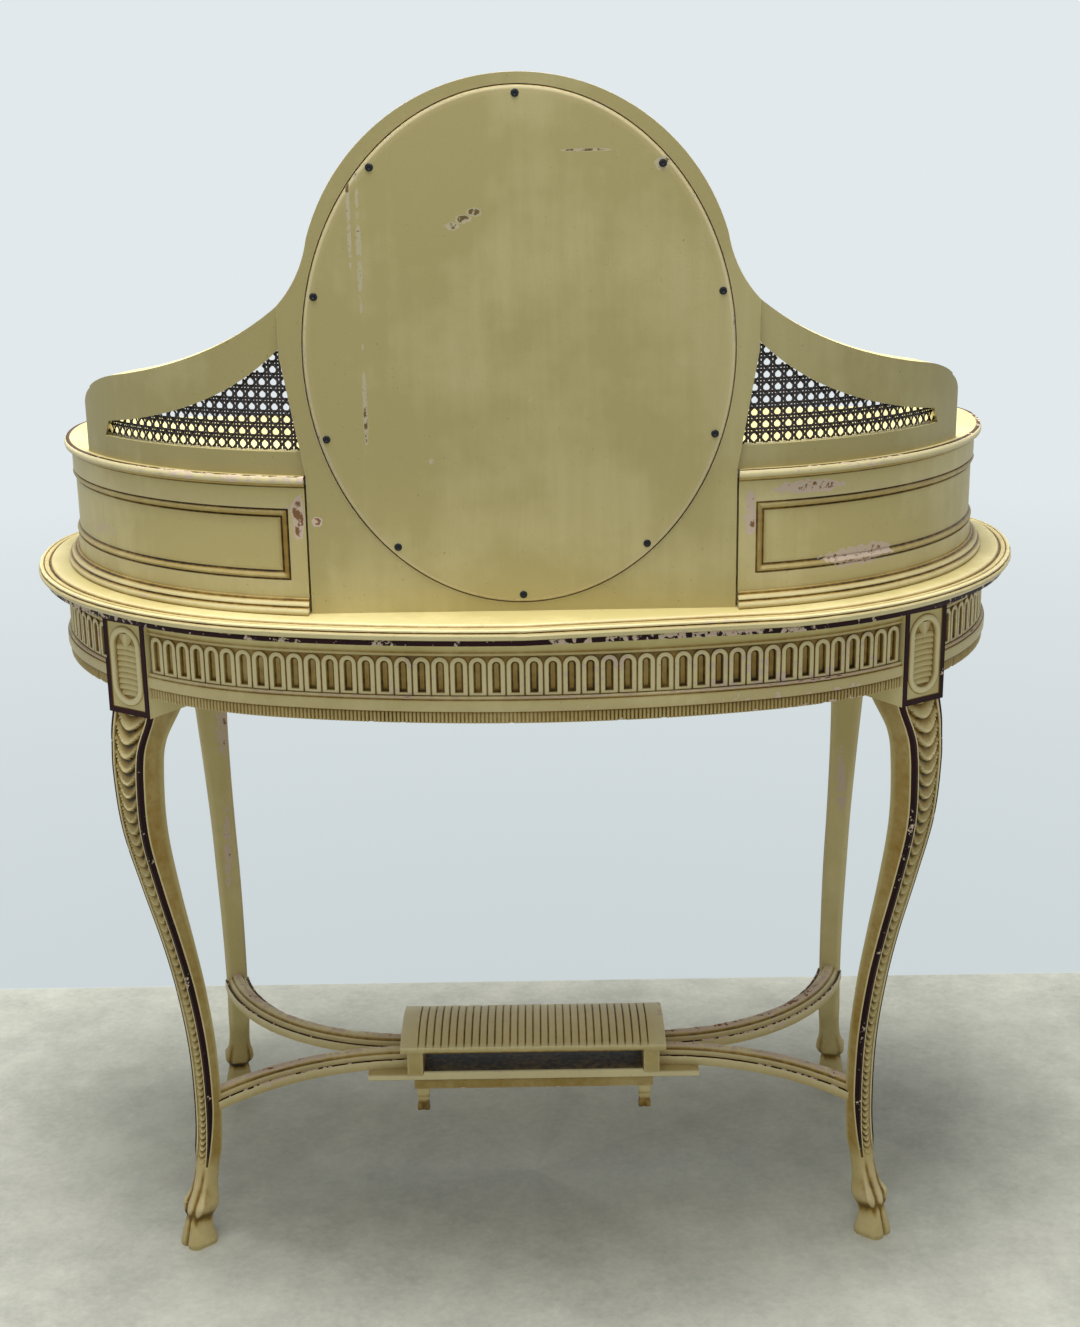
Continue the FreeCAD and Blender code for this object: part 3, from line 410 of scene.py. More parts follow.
class Carving:
    """Vertices and faces of one piece, with how much soiling and painted shade, and how much rubbing and
    painted highlight, each vertex has.
    """

    def __init__(self, *materials):
        self.materials = materials
        self.points = []
        self.ages = []
        self.faces = []
        self.finishes = []

    def vertex(self, place, grime_and_shade=0.0, rub_and_highlight=0.0):
        """Add a vertex and give its number."""
        self.points.append(Vector(place))
        self.ages.append((grime_and_shade, rub_and_highlight))
        return len(self.points) - 1

    def face(self, corners, finish=0):
        """Add a face of numbered vertices."""
        self.faces.append(corners)
        self.finishes.append(finish)

    def skin(self, lines, finish=None, round_about=False, loop=False):
        """Quads over equal lines of (place, soiling and painted shade, rubbing and painted highlight), with
        finish(line, column) for each quad.
        """
        numbers = [[self.vertex(*spot) for spot in line] for line in lines]
        count = len(numbers[0])
        pairs = list(zip(numbers, numbers[1:]))
        if loop:
            pairs.append((numbers[-1], numbers[0]))
        for row, (a, b) in enumerate(pairs):
            for column in range(count if round_about else count - 1):
                after = (column + 1) % count
                number = finish(row, column) if finish else 0
                self.face((a[column], a[after], b[after], b[column]), number)
        return numbers

    def bar(self, lines, finish=None):
        """Closed bar: skin over rings, with both ends filled."""
        numbers = self.skin(lines, finish, round_about=True)
        self.face(numbers[0])
        self.face(numbers[-1])

    def on_side(self, side):
        """The piece itself on the right of the table, or its mirror image on the left."""
        if side == "right":
            return self
        other = Carving(*self.materials)
        other.points = [Vector((-p.x, p.y, p.z)) for p in self.points]
        other.ages = list(self.ages)
        other.faces = [tuple(reversed(f)) for f in self.faces]
        other.finishes = list(self.finishes)
        return other

    def piece(self, node, body="table", slot="cream_paint", crease=38):
        """Make the mesh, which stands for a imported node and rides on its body."""
        mesh = bpy.data.meshes.new(f"{node}_dressed")
        mesh.from_pydata([p * MM for p in self.points], [], self.faces)
        for material in self.materials:
            mesh.materials.append(material)
        mesh.polygons.foreach_set("material_index", self.finishes)
        for number, label in enumerate(AGES):
            layer = mesh.attributes.new(label, "FLOAT", "POINT")
            layer.data.foreach_set("value", [age[number] for age in self.ages])
        settle(mesh, node, body, crease)


def settle(mesh, node, body, crease):
    """Turn a mesh's normals outwards, shade it and put it on its body in place of its node."""
    bm = bmesh.new()
    bm.from_mesh(mesh)
    bmesh.ops.recalc_face_normals(bm, faces=bm.faces)
    bm.to_mesh(mesh)
    bm.free()
    mesh.validate()
    mesh.shade_smooth()
    mesh.set_sharp_from_angle(angle=math.radians(crease))
    piece = bpy.data.objects.new(f"{node}_dressed", mesh)
    bpy.context.scene.collection.objects.link(piece)
    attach(piece, body)
    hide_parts(node)


def soften(node, material, radius, wear=3.0, body="table", glaze_and_shade=0.0, trim=None):
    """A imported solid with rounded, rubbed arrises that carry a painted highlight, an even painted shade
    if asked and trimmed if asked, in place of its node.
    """
    bm = bmesh.new()
    bm.from_mesh(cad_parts[node].data)
    bmesh.ops.remove_doubles(bm, verts=bm.verts, dist=WELD * MM)
    flat = math.radians(FLAT_ANGLE)
    bmesh.ops.dissolve_limit(bm, angle_limit=flat, verts=bm.verts, edges=bm.edges)
    # A square band for the rubbed paint and its painted highlight on each side of an arris, and then the
    # arris itself.
    for offset, profile in ((wear, 1.0), (radius, 0.6)):
        arrises = [e for e in bm.edges if e.calc_face_angle_signed(0) > math.radians(ARRIS_ANGLE)]
        made = bmesh.ops.bevel(
            bm, geom=arrises, offset=offset * MM, segments=2, profile=profile,
            affect="EDGES", clamp_overlap=True,
        )
    grime_and_shade, rub_and_highlight = (bm.verts.layers.float.new(label) for label in AGES)
    for vert in bm.verts:
        vert[grime_and_shade] = glaze_and_shade
    for face in made["faces"]:
        for vert in face.verts:
            vert[rub_and_highlight] = 1.0
    for face in bm.faces:
        face.material_index = 0
    if trim:
        trim(bm)
    mesh = bpy.data.meshes.new(node)
    bm.to_mesh(mesh)
    bm.free()
    mesh.materials.append(material)
    settle(mesh, node, body, crease=24)


def keep(node, finish):
    """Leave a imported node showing, with a finish of its own."""
    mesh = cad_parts[node].data
    mesh.materials.clear()
    mesh.materials.append(finish_of(finish))


def add_node(tree, kind, inputs=None, output=None, **settings):
    """Add a node with its settings, set or link its inputs, and give the output asked for."""
    node = tree.nodes.new(kind)
    for name, value in settings.items():
        setattr(node, name, value)
    for name, value in (inputs or {}).items():
        if isinstance(value, bpy.types.NodeSocket):
            tree.links.new(value, node.inputs[name])
        else:
            node.inputs[name].default_value = value
    return node if output is None else node.outputs[output]


# Colour sockets of a mix node, which share their names with the sockets of its other data types.
COLOUR_A, COLOUR_B, COLOUR_OUT = 6, 7, 2


def new_material(name):
    """Empty node material with its output node."""
    material = bpy.data.materials.new(name)
    material.use_nodes = True
    material.node_tree.nodes.clear()
    return material, material.node_tree, material.node_tree.nodes.new("ShaderNodeOutputMaterial")


# Noises of the aged paint, for its patches, its chips and its brushed film: size in millimetres,
# detail and roughness.
PAINT_NOISES = ((140, 4, 0.6), (8, 6, 0.62), (2.5, 3, 0.5))
# A brush stroke along X, Y and Z, and the height over the table top within which painted bounce light from
# the top lifts the painted shade on faces turned to +Y.
STROKE = (14, 14, 170)
BOUNCE_HEIGHT = 150

# Old damage, each as a place and its reach along X, Y and Z in millimetres.
FRAME_MARKS = (
    ((209, 241, 836), (8, 22, 30)),
    ((192, 243, 832), (7, 8, 7)),
    ((-213, 241, 834), (9, 22, 36)),
    ((-275, 228, 855), (62, 44, 9)),
    ((-331, 205, 783), (70, 74, 13)),
    ((430, 110, 800), (40, 60, 12)),
    ((380, -215, 480), (12, 60, 50)),
    ((376, -215, 330), (7, 60, 80)),
    ((-384, -215, 400), (10, 60, 70)),
    ((-374, -215, 540), (12, 60, 25)),
)
PANEL_MARKS = (
    ((142, 244, 1075), (4.0, 8, 90)),
    ((142, 244, 940), (3.2, 8, 75)),
    ((150, 244, 1100), (3.0, 8, 70)),
    ((58, 244, 1099), (10, 8, 5.0)),
    ((48, 244, 1105), (10, 8, 5.5)),
    ((38, 244, 1111), (10, 8, 5.0)),
    ((-62, 244, 1163), (36, 8, 2.0)),
    ((-129, 244, 1150), (10, 8, 8)),
    ((-9, 244, 943), (4, 8, 4)),
    ((83, 244, 888), (4, 8, 4)),
    ((-197, 244, 1010), (4, 8, 26)),
)


def worn_places(tree, place, marks):
    """Factor that rises to 1 in the middle of each of the marks."""
    total = None
    for middle, reach in marks:
        shift = [-m / r for m, r in zip(middle, reach)]
        scale = [1 / (r * MM) for r in reach]
        about = add_node(
            tree, "ShaderNodeMapping", {"Vector": place, "Location": shift, "Scale": scale}, "Vector"
        )
        away = add_node(tree, "ShaderNodeVectorMath", {0: about}, "Value", operation="LENGTH")
        near = add_node(
            tree, "ShaderNodeMapRange",
            {"Value": away, "From Min": 0.5, "From Max": 1.0, "To Min": 1, "To Max": 0}, "Result",
        )
        if total:
            near = add_node(tree, "ShaderNodeMath", {0: total, 1: near}, 0, operation="MAXIMUM")
        total = near
    return total


def coat_colour(tree, place, patches, body, shade):
    """Colour of the paint itself, yellowed in patches and along its upright brush strokes."""
    yellowed = add_node(
        tree, "ShaderNodeMapRange", {"Value": patches, "From Min": 0.38, "From Max": 0.66}, "Result"
    )
    drawn = add_node(
        tree, "ShaderNodeMapping", {"Vector": place, "Scale": [1 / (s * MM) for s in STROKE]}, "Vector"
    )
    strokes = add_node(
        tree, "ShaderNodeTexNoise", {"Vector": drawn, "Scale": 1, "Detail": 5, "Roughness": 0.65}, "Fac"
    )
    tone = add_node(
        tree, "ShaderNodeMath", {0: strokes, 1: 0.9, 2: yellowed}, 0,
        operation="MULTIPLY_ADD", use_clamp=True,
    )
    tone = add_node(tree, "ShaderNodeMapRange", {"Value": tone, "From Min": 0.2, "From Max": 1.0}, "Result")
    return add_node(
        tree, "ShaderNodeMix", {"Factor": tone, COLOUR_A: body, COLOUR_B: shade}, COLOUR_OUT,
        data_type="RGBA",
    )


def painted_back_shade(tree, place, coat, back_shade):
    """Coat darkened with painted shade where it faces +Y, the table's back, less so near the table top,
    where painted bounce light from the top lifts it.
    """
    normal = add_node(tree, "ShaderNodeNewGeometry", output="Normal")
    turned = add_node(tree, "ShaderNodeSeparateXYZ", {"Vector": normal}, "Y")
    facing = add_node(
        tree, "ShaderNodeMapRange", {"Value": turned, "From Min": 0.0, "From Max": 0.5}, "Result"
    )
    height = add_node(tree, "ShaderNodeSeparateXYZ", {"Vector": place}, "Z")
    low, high = TABLE_TOP * MM, (TABLE_TOP + BOUNCE_HEIGHT) * MM
    shade_above_top = add_node(
        tree, "ShaderNodeMapRange",
        {"Value": height, "From Min": low, "From Max": high, "To Min": 0.4}, "Result",
    )
    darkening = add_node(tree, "ShaderNodeMath", {0: facing, 1: shade_above_top}, 0, operation="MULTIPLY")
    return add_node(
        tree, "ShaderNodeMix", {"Factor": darkening, COLOUR_A: coat, COLOUR_B: (back_shade, back_shade, back_shade, 1)},
        COLOUR_OUT, data_type="RGBA", blend_type="MULTIPLY",
    )


def dirtied_and_shaded(tree, paint, coat, grime_and_shade, patches, chips, film):
    """Coat with ochre glaze in its hollows, a dark tint for soiling and painted shade in the deepest of
    them, and fine dark specks. Where the hollows' values stand for shade, the glaze is painted shade too.
    """
    spotty = add_node(tree, "ShaderNodeMath", {0: chips, 1: 0.9, 2: -0.2}, 0, operation="MULTIPLY_ADD")
    uneven = add_node(
        tree, "ShaderNodeMath", {0: patches, 1: 1.3, 2: spotty}, 0, operation="MULTIPLY_ADD"
    )
    darkening = add_node(tree, "ShaderNodeMath", {0: grime_and_shade, 1: uneven}, 0, operation="MULTIPLY")
    glazed = add_node(
        tree, "ShaderNodeMapRange", {"Value": darkening, "From Min": 0.0, "From Max": 0.6}, "Result"
    )
    filled = add_node(
        tree, "ShaderNodeMapRange", {"Value": darkening, "From Min": 0.6, "From Max": 1.0}, "Result"
    )
    specks = add_node(
        tree, "ShaderNodeMapRange",
        {"Value": film, "From Min": 0.7, "From Max": 0.76, "To Max": 0.55}, "Result",
    )
    for factor, tint in ((glazed, paint.glaze), (filled, paint.grime_and_shade), (specks, paint.grime_and_shade)):
        coat = add_node(
            tree, "ShaderNodeMix", {"Factor": factor, COLOUR_A: coat, COLOUR_B: tint}, COLOUR_OUT,
            data_type="RGBA",
        )
    return coat


def aged_paint(name, paint, body, shade, chip_level, marks=(), burnished_and_highlighted=True, back_shade=1.0, bare=None):
    """Brushed oil paint on primed wood, yellowed and chipped by use.

    The eye sees a soft eggshell sheen, ochre glaze and soiling in the carving with painted shade in
    the deepest hollows, pinkish ground and a painted highlight where arrises are rubbed, and a few
    spots of bare wood inside the chips. Painted shade darkens what faces +Y, the table's back, less
    near the table top, where painted bounce light from the top lifts it. bare is the colour under
    the paint, that of the wood and how much more wear it takes to reach the wood.
    """
    material, tree, output = new_material(name)
    place = add_node(tree, "ShaderNodeTexCoord", output="Object")
    patches, chips, film = (
        add_node(
            tree, "ShaderNodeTexNoise",
            {"Vector": place, "Scale": 1 / (size * MM), "Detail": detail, "Roughness": rough}, "Fac",
        )
        for size, detail, rough in PAINT_NOISES
    )
    grime_and_shade, rub_and_highlight = (
        add_node(tree, "ShaderNodeAttribute", output="Fac", attribute_name=label) for label in AGES
    )
    coat = coat_colour(tree, place, patches, body, shade)
    # Painted shade on faces turned to +Y, lifted near the table top by painted bounce light.
    if back_shade < 1:
        coat = painted_back_shade(tree, place, coat, back_shade)
    # Arrises lightened towards a paler cream: worn paint and a painted highlight.
    if burnished_and_highlighted:
        lightened = add_node(tree, "ShaderNodeMath", {0: rub_and_highlight, 1: 0.55}, 0, operation="MULTIPLY")
        coat = add_node(
            tree, "ShaderNodeMix", {"Factor": lightened, COLOUR_A: coat, COLOUR_B: paint.burnish_and_highlight},
            COLOUR_OUT, data_type="RGBA",
        )
    coat = dirtied_and_shaded(tree, paint, coat, grime_and_shade, patches, chips, film)
    rubbed = add_node(tree, "ShaderNodeMath", {0: rub_and_highlight, 1: 0.3, 2: chips}, 0, operation="MULTIPLY_ADD")
    wear = add_node(tree, "ShaderNodeMath", {0: patches, 1: 0.9, 2: rubbed}, 0, operation="MULTIPLY_ADD")
    if marks:
        worn = worn_places(tree, place, marks)
        wear = add_node(tree, "ShaderNodeMath", {0: worn, 1: 0.46, 2: wear}, 0, operation="MULTIPLY_ADD")
    ground, core, further = bare or (paint.primer, paint.wood, 0.2)
    chipped, deep = (
        add_node(
            tree, "ShaderNodeMapRange", {"Value": wear, "From Min": low, "From Max": low + blur}, "Result"
        )
        for low, blur in ((chip_level, 0.02), (chip_level + further, 0.06))
    )
    under = add_node(
        tree, "ShaderNodeMix", {"Factor": deep, COLOUR_A: ground, COLOUR_B: core}, COLOUR_OUT,
        data_type="RGBA",
    )
    surface = add_node(
        tree, "ShaderNodeMix", {"Factor": chipped, COLOUR_A: coat, COLOUR_B: under}, COLOUR_OUT,
        data_type="RGBA",
    )
    level = add_node(tree, "ShaderNodeMath", {0: chipped, 1: -0.6, 2: film}, 0, operation="MULTIPLY_ADD")
    bump = add_node(
        tree, "ShaderNodeBump", {"Strength": 0.35, "Distance": 0.35 * MM, "Height": level}, "Normal"
    )
    rough = add_node(
        tree, "ShaderNodeMapRange", {"Value": chipped, "To Min": 0.46, "To Max": 0.85}, "Result"
    )
    gloss = 0.3 if burnished_and_highlighted else 0.15
    shader = add_node(
        tree, "ShaderNodeBsdfPrincipled",
        {"Base Color": surface, "Roughness": rough, "Normal": bump, "Specular IOR Level": gloss}, "BSDF",
    )
    tree.links.new(shader, output.inputs["Surface"])
    return material


def plain_material(name, body, shade, grain, roughness, metallic=0.0, bump=0.2):
    """Single-layer finish with a grain stretched to real millimetres along X, Y and Z."""
    material, tree, output = new_material(name)
    place = add_node(tree, "ShaderNodeTexCoord", output="Object")
    stretched = add_node(
        tree, "ShaderNodeMapping", {"Vector": place, "Scale": [1 / (g * MM) for g in grain]}, "Vector"
    )
    fibre = add_node(
        tree, "ShaderNodeTexNoise", {"Vector": stretched, "Scale": 1, "Detail": 5, "Roughness": 0.6}, "Fac"
    )
    tone = add_node(
        tree, "ShaderNodeMapRange", {"Value": fibre, "From Min": 0.3, "From Max": 0.7}, "Result"
    )
    mixed = add_node(
        tree, "ShaderNodeMix", {"Factor": tone, COLOUR_A: body, COLOUR_B: shade}, COLOUR_OUT,
        data_type="RGBA",
    )
    rough = add_node(
        tree, "ShaderNodeMapRange",
        {"Value": fibre, "To Min": roughness * 0.8, "To Max": roughness * 1.2}, "Result",
    )
    normal = add_node(
        tree, "ShaderNodeBump", {"Strength": bump, "Distance": 0.3 * MM, "Height": fibre}, "Normal"
    )
    shader = add_node(
        tree, "ShaderNodeBsdfPrincipled",
        {"Base Color": mixed, "Roughness": rough, "Normal": normal, "Metallic": metallic}, "BSDF",
    )
    tree.links.new(shader, output.inputs["Surface"])
    return material


def mirror_glass(name, paint):
    """Silvered plate glass: a clean reflection with faint foxing towards the edge."""
    material, tree, output = new_material(name)
    place = add_node(tree, "ShaderNodeTexCoord", output="Object")
    spots = add_node(
        tree, "ShaderNodeTexNoise", {"Vector": place, "Scale": 1 / (22 * MM), "Detail": 7}, "Fac"
    )
    foxed = add_node(
        tree, "ShaderNodeMapRange", {"Value": spots, "From Min": 0.66, "From Max": 0.75}, "Result"
    )
    silver = add_node(
        tree, "ShaderNodeMix", {"Factor": foxed, COLOUR_A: paint.silver, COLOUR_B: paint.foxing},
        COLOUR_OUT, data_type="RGBA",
    )
    shader = add_node(
        tree, "ShaderNodeBsdfPrincipled", {"Base Color": silver, "Metallic": 1.0, "Roughness": 0.03}, "BSDF"
    )
    tree.links.new(shader, output.inputs["Surface"])
    return material


def shaded(tone, factor):
    """A colour made darker or lighter."""
    return [min(c * factor, 1) for c in tone[:3]] + [1.0]


def finish_of(name):
    """Material of a finish, made when it is first asked for."""
    if name in bpy.data.materials:
        return bpy.data.materials[name]
    paint = bpy.context.scene.dressing_paint
    cream = {"body": paint.cream, "shade": paint.cream_shade, "chip_level": 1.34}
    if name == "cream_oil_paint":
        return aged_paint(name, paint, **cream, marks=FRAME_MARKS)
    if name == "cream_oil_paint_back_panel":
        # Painted thinly on the bare board, so that a scratch soon shows dull wood.
        bare = (paint.panel_ground, paint.panel_core, 0.17)
        # It also carries painted shade on its faces turned to +Y.
        return aged_paint(name, paint, **cream, marks=PANEL_MARKS, back_shade=0.74, bare=bare)
    if name == "cream_oil_paint_painted_shade":
        # Cream paint with painted shade on its faces turned to +Y, for the mirror board and the wings.
        return aged_paint(name, paint, **cream, marks=FRAME_MARKS, back_shade=0.7)
    if name == "oxblood_lining_paint":
        # The lines were painted last and thinly, so they flake to the ground more than the cream.
        dark = shaded(paint.oxblood, 0.4)
        return aged_paint(name, paint, paint.oxblood, dark, chip_level=1.25, burnished_and_highlighted=False)
    if name == "sawn_beech_drawer_linings":
        # Planed and left bare: fine straight grain, dry and matt.
        dark = shaded(paint.drawer_wood, 0.7)
        return plain_material(name, paint.drawer_wood, dark, grain=(60, 60, 3), roughness=0.62)
    if name == "lacquered_brass":
        # Turned and lacquered, now dull: a soft reflection with a brown cast.
        dark = shaded(paint.brass, 0.6)
        return plain_material(
            name, paint.brass, dark, grain=(9, 9, 9), roughness=0.3, metallic=1.0, bump=0.05
        )
    if name == "blackened_steel_screws":
        # Heat-blackened heads, almost without shine.
        worn = shaded(paint.screw, 2.5)
        return plain_material(
            name, paint.screw, worn, grain=(2, 2, 2), roughness=0.5, metallic=0.6, bump=0.1
        )
    if name == "split_rattan_cane":
        # Split strands with a hard skin: satin, dark stained, darker in blotches.
        dark = shaded(paint.cane, 0.5)
        return plain_material(name, paint.cane, dark, grain=(5, 5, 5), roughness=0.4)
    if name == "silvered_mirror_glass":
        return mirror_glass(name, paint)
    raise ValueError(f"no finish named {name}")


def paints():
    """Cream paint and lining paint, the two finishes of a painted piece."""
    return finish_of("cream_oil_paint"), finish_of("oxblood_lining_paint")


# Numbers of the two finishes in a carving.
CREAM, LINING = 0, 1


def carve_table_top():
    """Oval top with its lined lower band, rounded edge and the groove round the flat."""
    top = TABLE_TOP
    low = UNDER_TOP
    # Inset, height, soiling and painted shade, rubbing and painted highlight, and finish of the strip that
    # follows.
    profile = (
        (40, low, 0.2, 0.0, CREAM),
        (7.5, low, 0.2, 0.0, CREAM),
        (6.2, low + 0.5, 0.0, 0.9, LINING),
        (6.0, low + 5.4, 0.0, 0.9, LINING),
        (5.4, low + 6.0, 0.6, 0.0, CREAM),
        (3.6, low + 6.2, 0.2, 0.3, CREAM),
        (1.5, low + 7.3, 0.0, 0.9, CREAM),
        (0.3, low + 9.2, 0.0, 0.9, CREAM),
        (0.0, top - 8.4, 0.0, 0.3, CREAM),
        (0.2, top - 7.0, 0.0, 0.9, CREAM),
        (0.9, top - 6.0, 0.3, 0.4, CREAM),
        (2.3, top - 5.7, 1.0, 0.0, CREAM),
        (2.5, top - 4.9, 0.9, 0.0, CREAM),
        (1.6, top - 4.4, 0.2, 0.7, CREAM),
        (1.9, top - 3.0, 0.0, 0.9, CREAM),
        (3.4, top - 2.1, 0.0, 0.5, CREAM),
        (5.2, top - 2.0, 0.2, 0.3, CREAM),
        (5.8, top - 2.7, 1.0, 0.0, CREAM),
        (6.4, top - 2.7, 1.0, 0.0, CREAM),
        (7.0, top - 2.0, 0.2, 0.4, CREAM),
        (10.6, top - 2.0, 0.1, 0.1, CREAM),
        (11.4, top - 2.5, 0.9, 0.0, CREAM),
        (12.2, top - 3.4, 1.0, 0.0, CREAM),
        (13.2, top - 3.3, 1.0, 0.0, CREAM),
        (13.8, top - 1.8, 0.5, 0.4, CREAM),
        (15.0, top - 0.5, 0.0, 0.7, CREAM),
        (17.0, top, 0.0, 0.2, CREAM),
        (24.0, top, 0.0, 0.0, CREAM),
        (60.0, top, 0.0, 0.0, CREAM),
    )
    carving = Carving(*paints())
    lines = []
    for angle in edge_angles(0, 360, EDGE_STEP)[:-1]:
        line = []
        for inset, height, grime_and_shade, rub_and_highlight, _ in profile:
            place = edge_point(angle, inset, height)
            dent = rub_and_highlight * knock(place, 14, 0.25, 2.2)
            line.append((place - heading(angle) * dent, grime_and_shade, rub_and_highlight))
        lines.append(line)
    numbers = carving.skin(lines, lambda row, column: profile[column][4], loop=True)
    carving.face([line[0] for line in numbers])
    carving.face([line[-1] for line in numbers])
    carving.piece("table_top")


def tombstone(half_width, foot, head):
    """Outline of an arch-topped flute, from its lower left corner round by the right, as (u, v)."""
    spring = head - half_width
    points = [(-half_width, foot), (0, foot), (half_width, foot), (half_width, (foot + spring) / 2)]
    for number in range(ARCH_STEPS + 1):
        turn = math.pi * number / ARCH_STEPS
        points.append((half_width * math.cos(turn), spring + half_width * math.sin(turn)))
    return points + [(-half_width, (foot + spring) / 2)]


def on_rectangle(points, half_width, foot, head, centre):
    """The same number of points on a rectangle, seen from a centre height, corners included."""
    out = []
    for u, v in points:
        reach = [half_width / abs(u) if abs(u) > TINY else math.inf]
        if abs(v - centre) > TINY:
            reach.append(((head if v > centre else foot) - centre) / (v - centre))
        scale = min(reach)
        out.append([u * scale, centre + (v - centre) * scale])
    for corner in ((-half_width, foot), (half_width, foot), (half_width, head), (-half_width, head)):
        nearest = min(range(len(out)), key=lambda i: math.dist(out[i], corner))
        out[nearest] = list(corner)
    return out


def carve_flute(carving, angle, half_pitch, foot, head, plain=False):
    """One arch-topped flute of the frieze with a cable in it, a closed block let into the apron."""
    sizes = bpy.context.scene.dressing_carving
    rim = sizes.flute_rim / MM
    depth = sizes.flute_depth / MM
    outer = half_pitch - 0.8
    inner = outer - rim
    sill = foot + rim * 0.7
    crown = head - 1.0 - rim
    outside = tombstone(outer, foot + 0.4, head - 1.0)
    well = tombstone(inner, sill, crown)
    border = on_rectangle(outside, half_pitch, foot, head, head - half_pitch - 1.0)
    # Outline, level over the apron's face, soiling and painted shade, and rubbing and painted highlight.
    rings = [
        (border, FLUTE_ROOT, 0.5, 0.0),
        (border, FLUTE_GROUND, 0.7, 0.0),
        (outside, FLUTE_GROUND, 0.8, 0.0),
        (outside, -0.3, 0.2, 0.6),
        (tombstone(outer - 0.5, foot + 0.8, head - 1.5), 0.0, 0.0, 0.9),
    ]
    if not plain:
        rings += [
            (tombstone(inner + 0.5, sill - 0.4, crown + 0.5), 0.0, 0.0, 0.9),
            (well, -0.6, 0.35, 0.4),
            (well, 0.6 - depth, 0.8, 0.0),
            (tombstone(inner - 0.7, sill + 0.4, crown - 0.7), -depth, 0.85, 0.0),
            (tombstone(inner - 1.9, sill + 4.0, crown - 1.9), 1.3 - depth, 0.5, 0.0),
        ]
    lines = []
    for ring, level, grime_and_shade, rub_and_highlight in rings:
        line = []
        for u, v in ring:
            turn = along_edge(angle, u, APRON_INSET)
            place = edge_point(turn, APRON_INSET - level, v)
            slip = rub_and_highlight * 0.5 * noise.noise(place / 3.1)
            # Dirt gathers at the foot of the sunk well.
            damp = 0.4 * bell(v, foot, 7) if level < -2.5 else 0
            line.append((place + heading(turn) * min(slip, 0), min(grime_and_shade + damp, 1), rub_and_highlight))
        lines.append(line)
    carving.bar(lines)


def carve_flutes(carving, first, last, foot, head, pitch, is_plain=None):
    """Row of flutes from one normal to another, at about a pitch."""
    total = edge_run(first, last, APRON_INSET)
    half = total / round(total / pitch) / 2
    for middle in edge_angles(first, last, half, APRON_INSET)[1::2]:
        plain = is_plain(middle) if is_plain else False
        carve_flute(carving, middle, half, foot, head, plain)


def carve_reeds(carving, first, last):
    """Reeded strip along the lower edge of the frieze."""
    pitch = bpy.context.scene.dressing_carving.reed_pitch / MM
    count = len(edge_angles(first, last, pitch, APRON_INSET)) - 1
    angles = edge_angles(first, last, pitch / 6, APRON_INSET)
    foot = APRON_FOOT
    head = foot + BEAD_HEIGHT
    lines = []
    for number, angle in enumerate(angles):
        phase = number / (len(angles) - 1) * count
        swell = math.sqrt(abs(math.sin(math.pi * phase)))
        chip = max(noise.noise(Vector((round(phase - 0.5) * 0.37, first * 0.1, 0))) - 0.3, 0) * 2.0
        out = APRON_INSET - 2 + 1.9 * (1 - swell) + chip
        low = foot + chip * 2
        grime_and_shade = 1.25 - swell
        # Inset, height, soiling and painted shade, and rubbing and painted highlight.
        spots = (
            (APRON_INSET + 6, foot + 0.4, 0.5, 0.0),
            (out + 1.2, low + 0.2, grime_and_shade * 0.6, 0.5),
            (out + 0.2, low + 1.2, grime_and_shade, 0.8),
            (out, low + 3.0, grime_and_shade, 0.5),
            (out, head - 2.0, grime_and_shade, 0.2),
            (out + 0.8, head - 0.6, max(grime_and_shade, 0.5), 0.0),
            (APRON_INSET + 6, head, 0.8, 0.0),
        )
        lines.append(edge_line(angle, spots))
    carving.bar(lines)


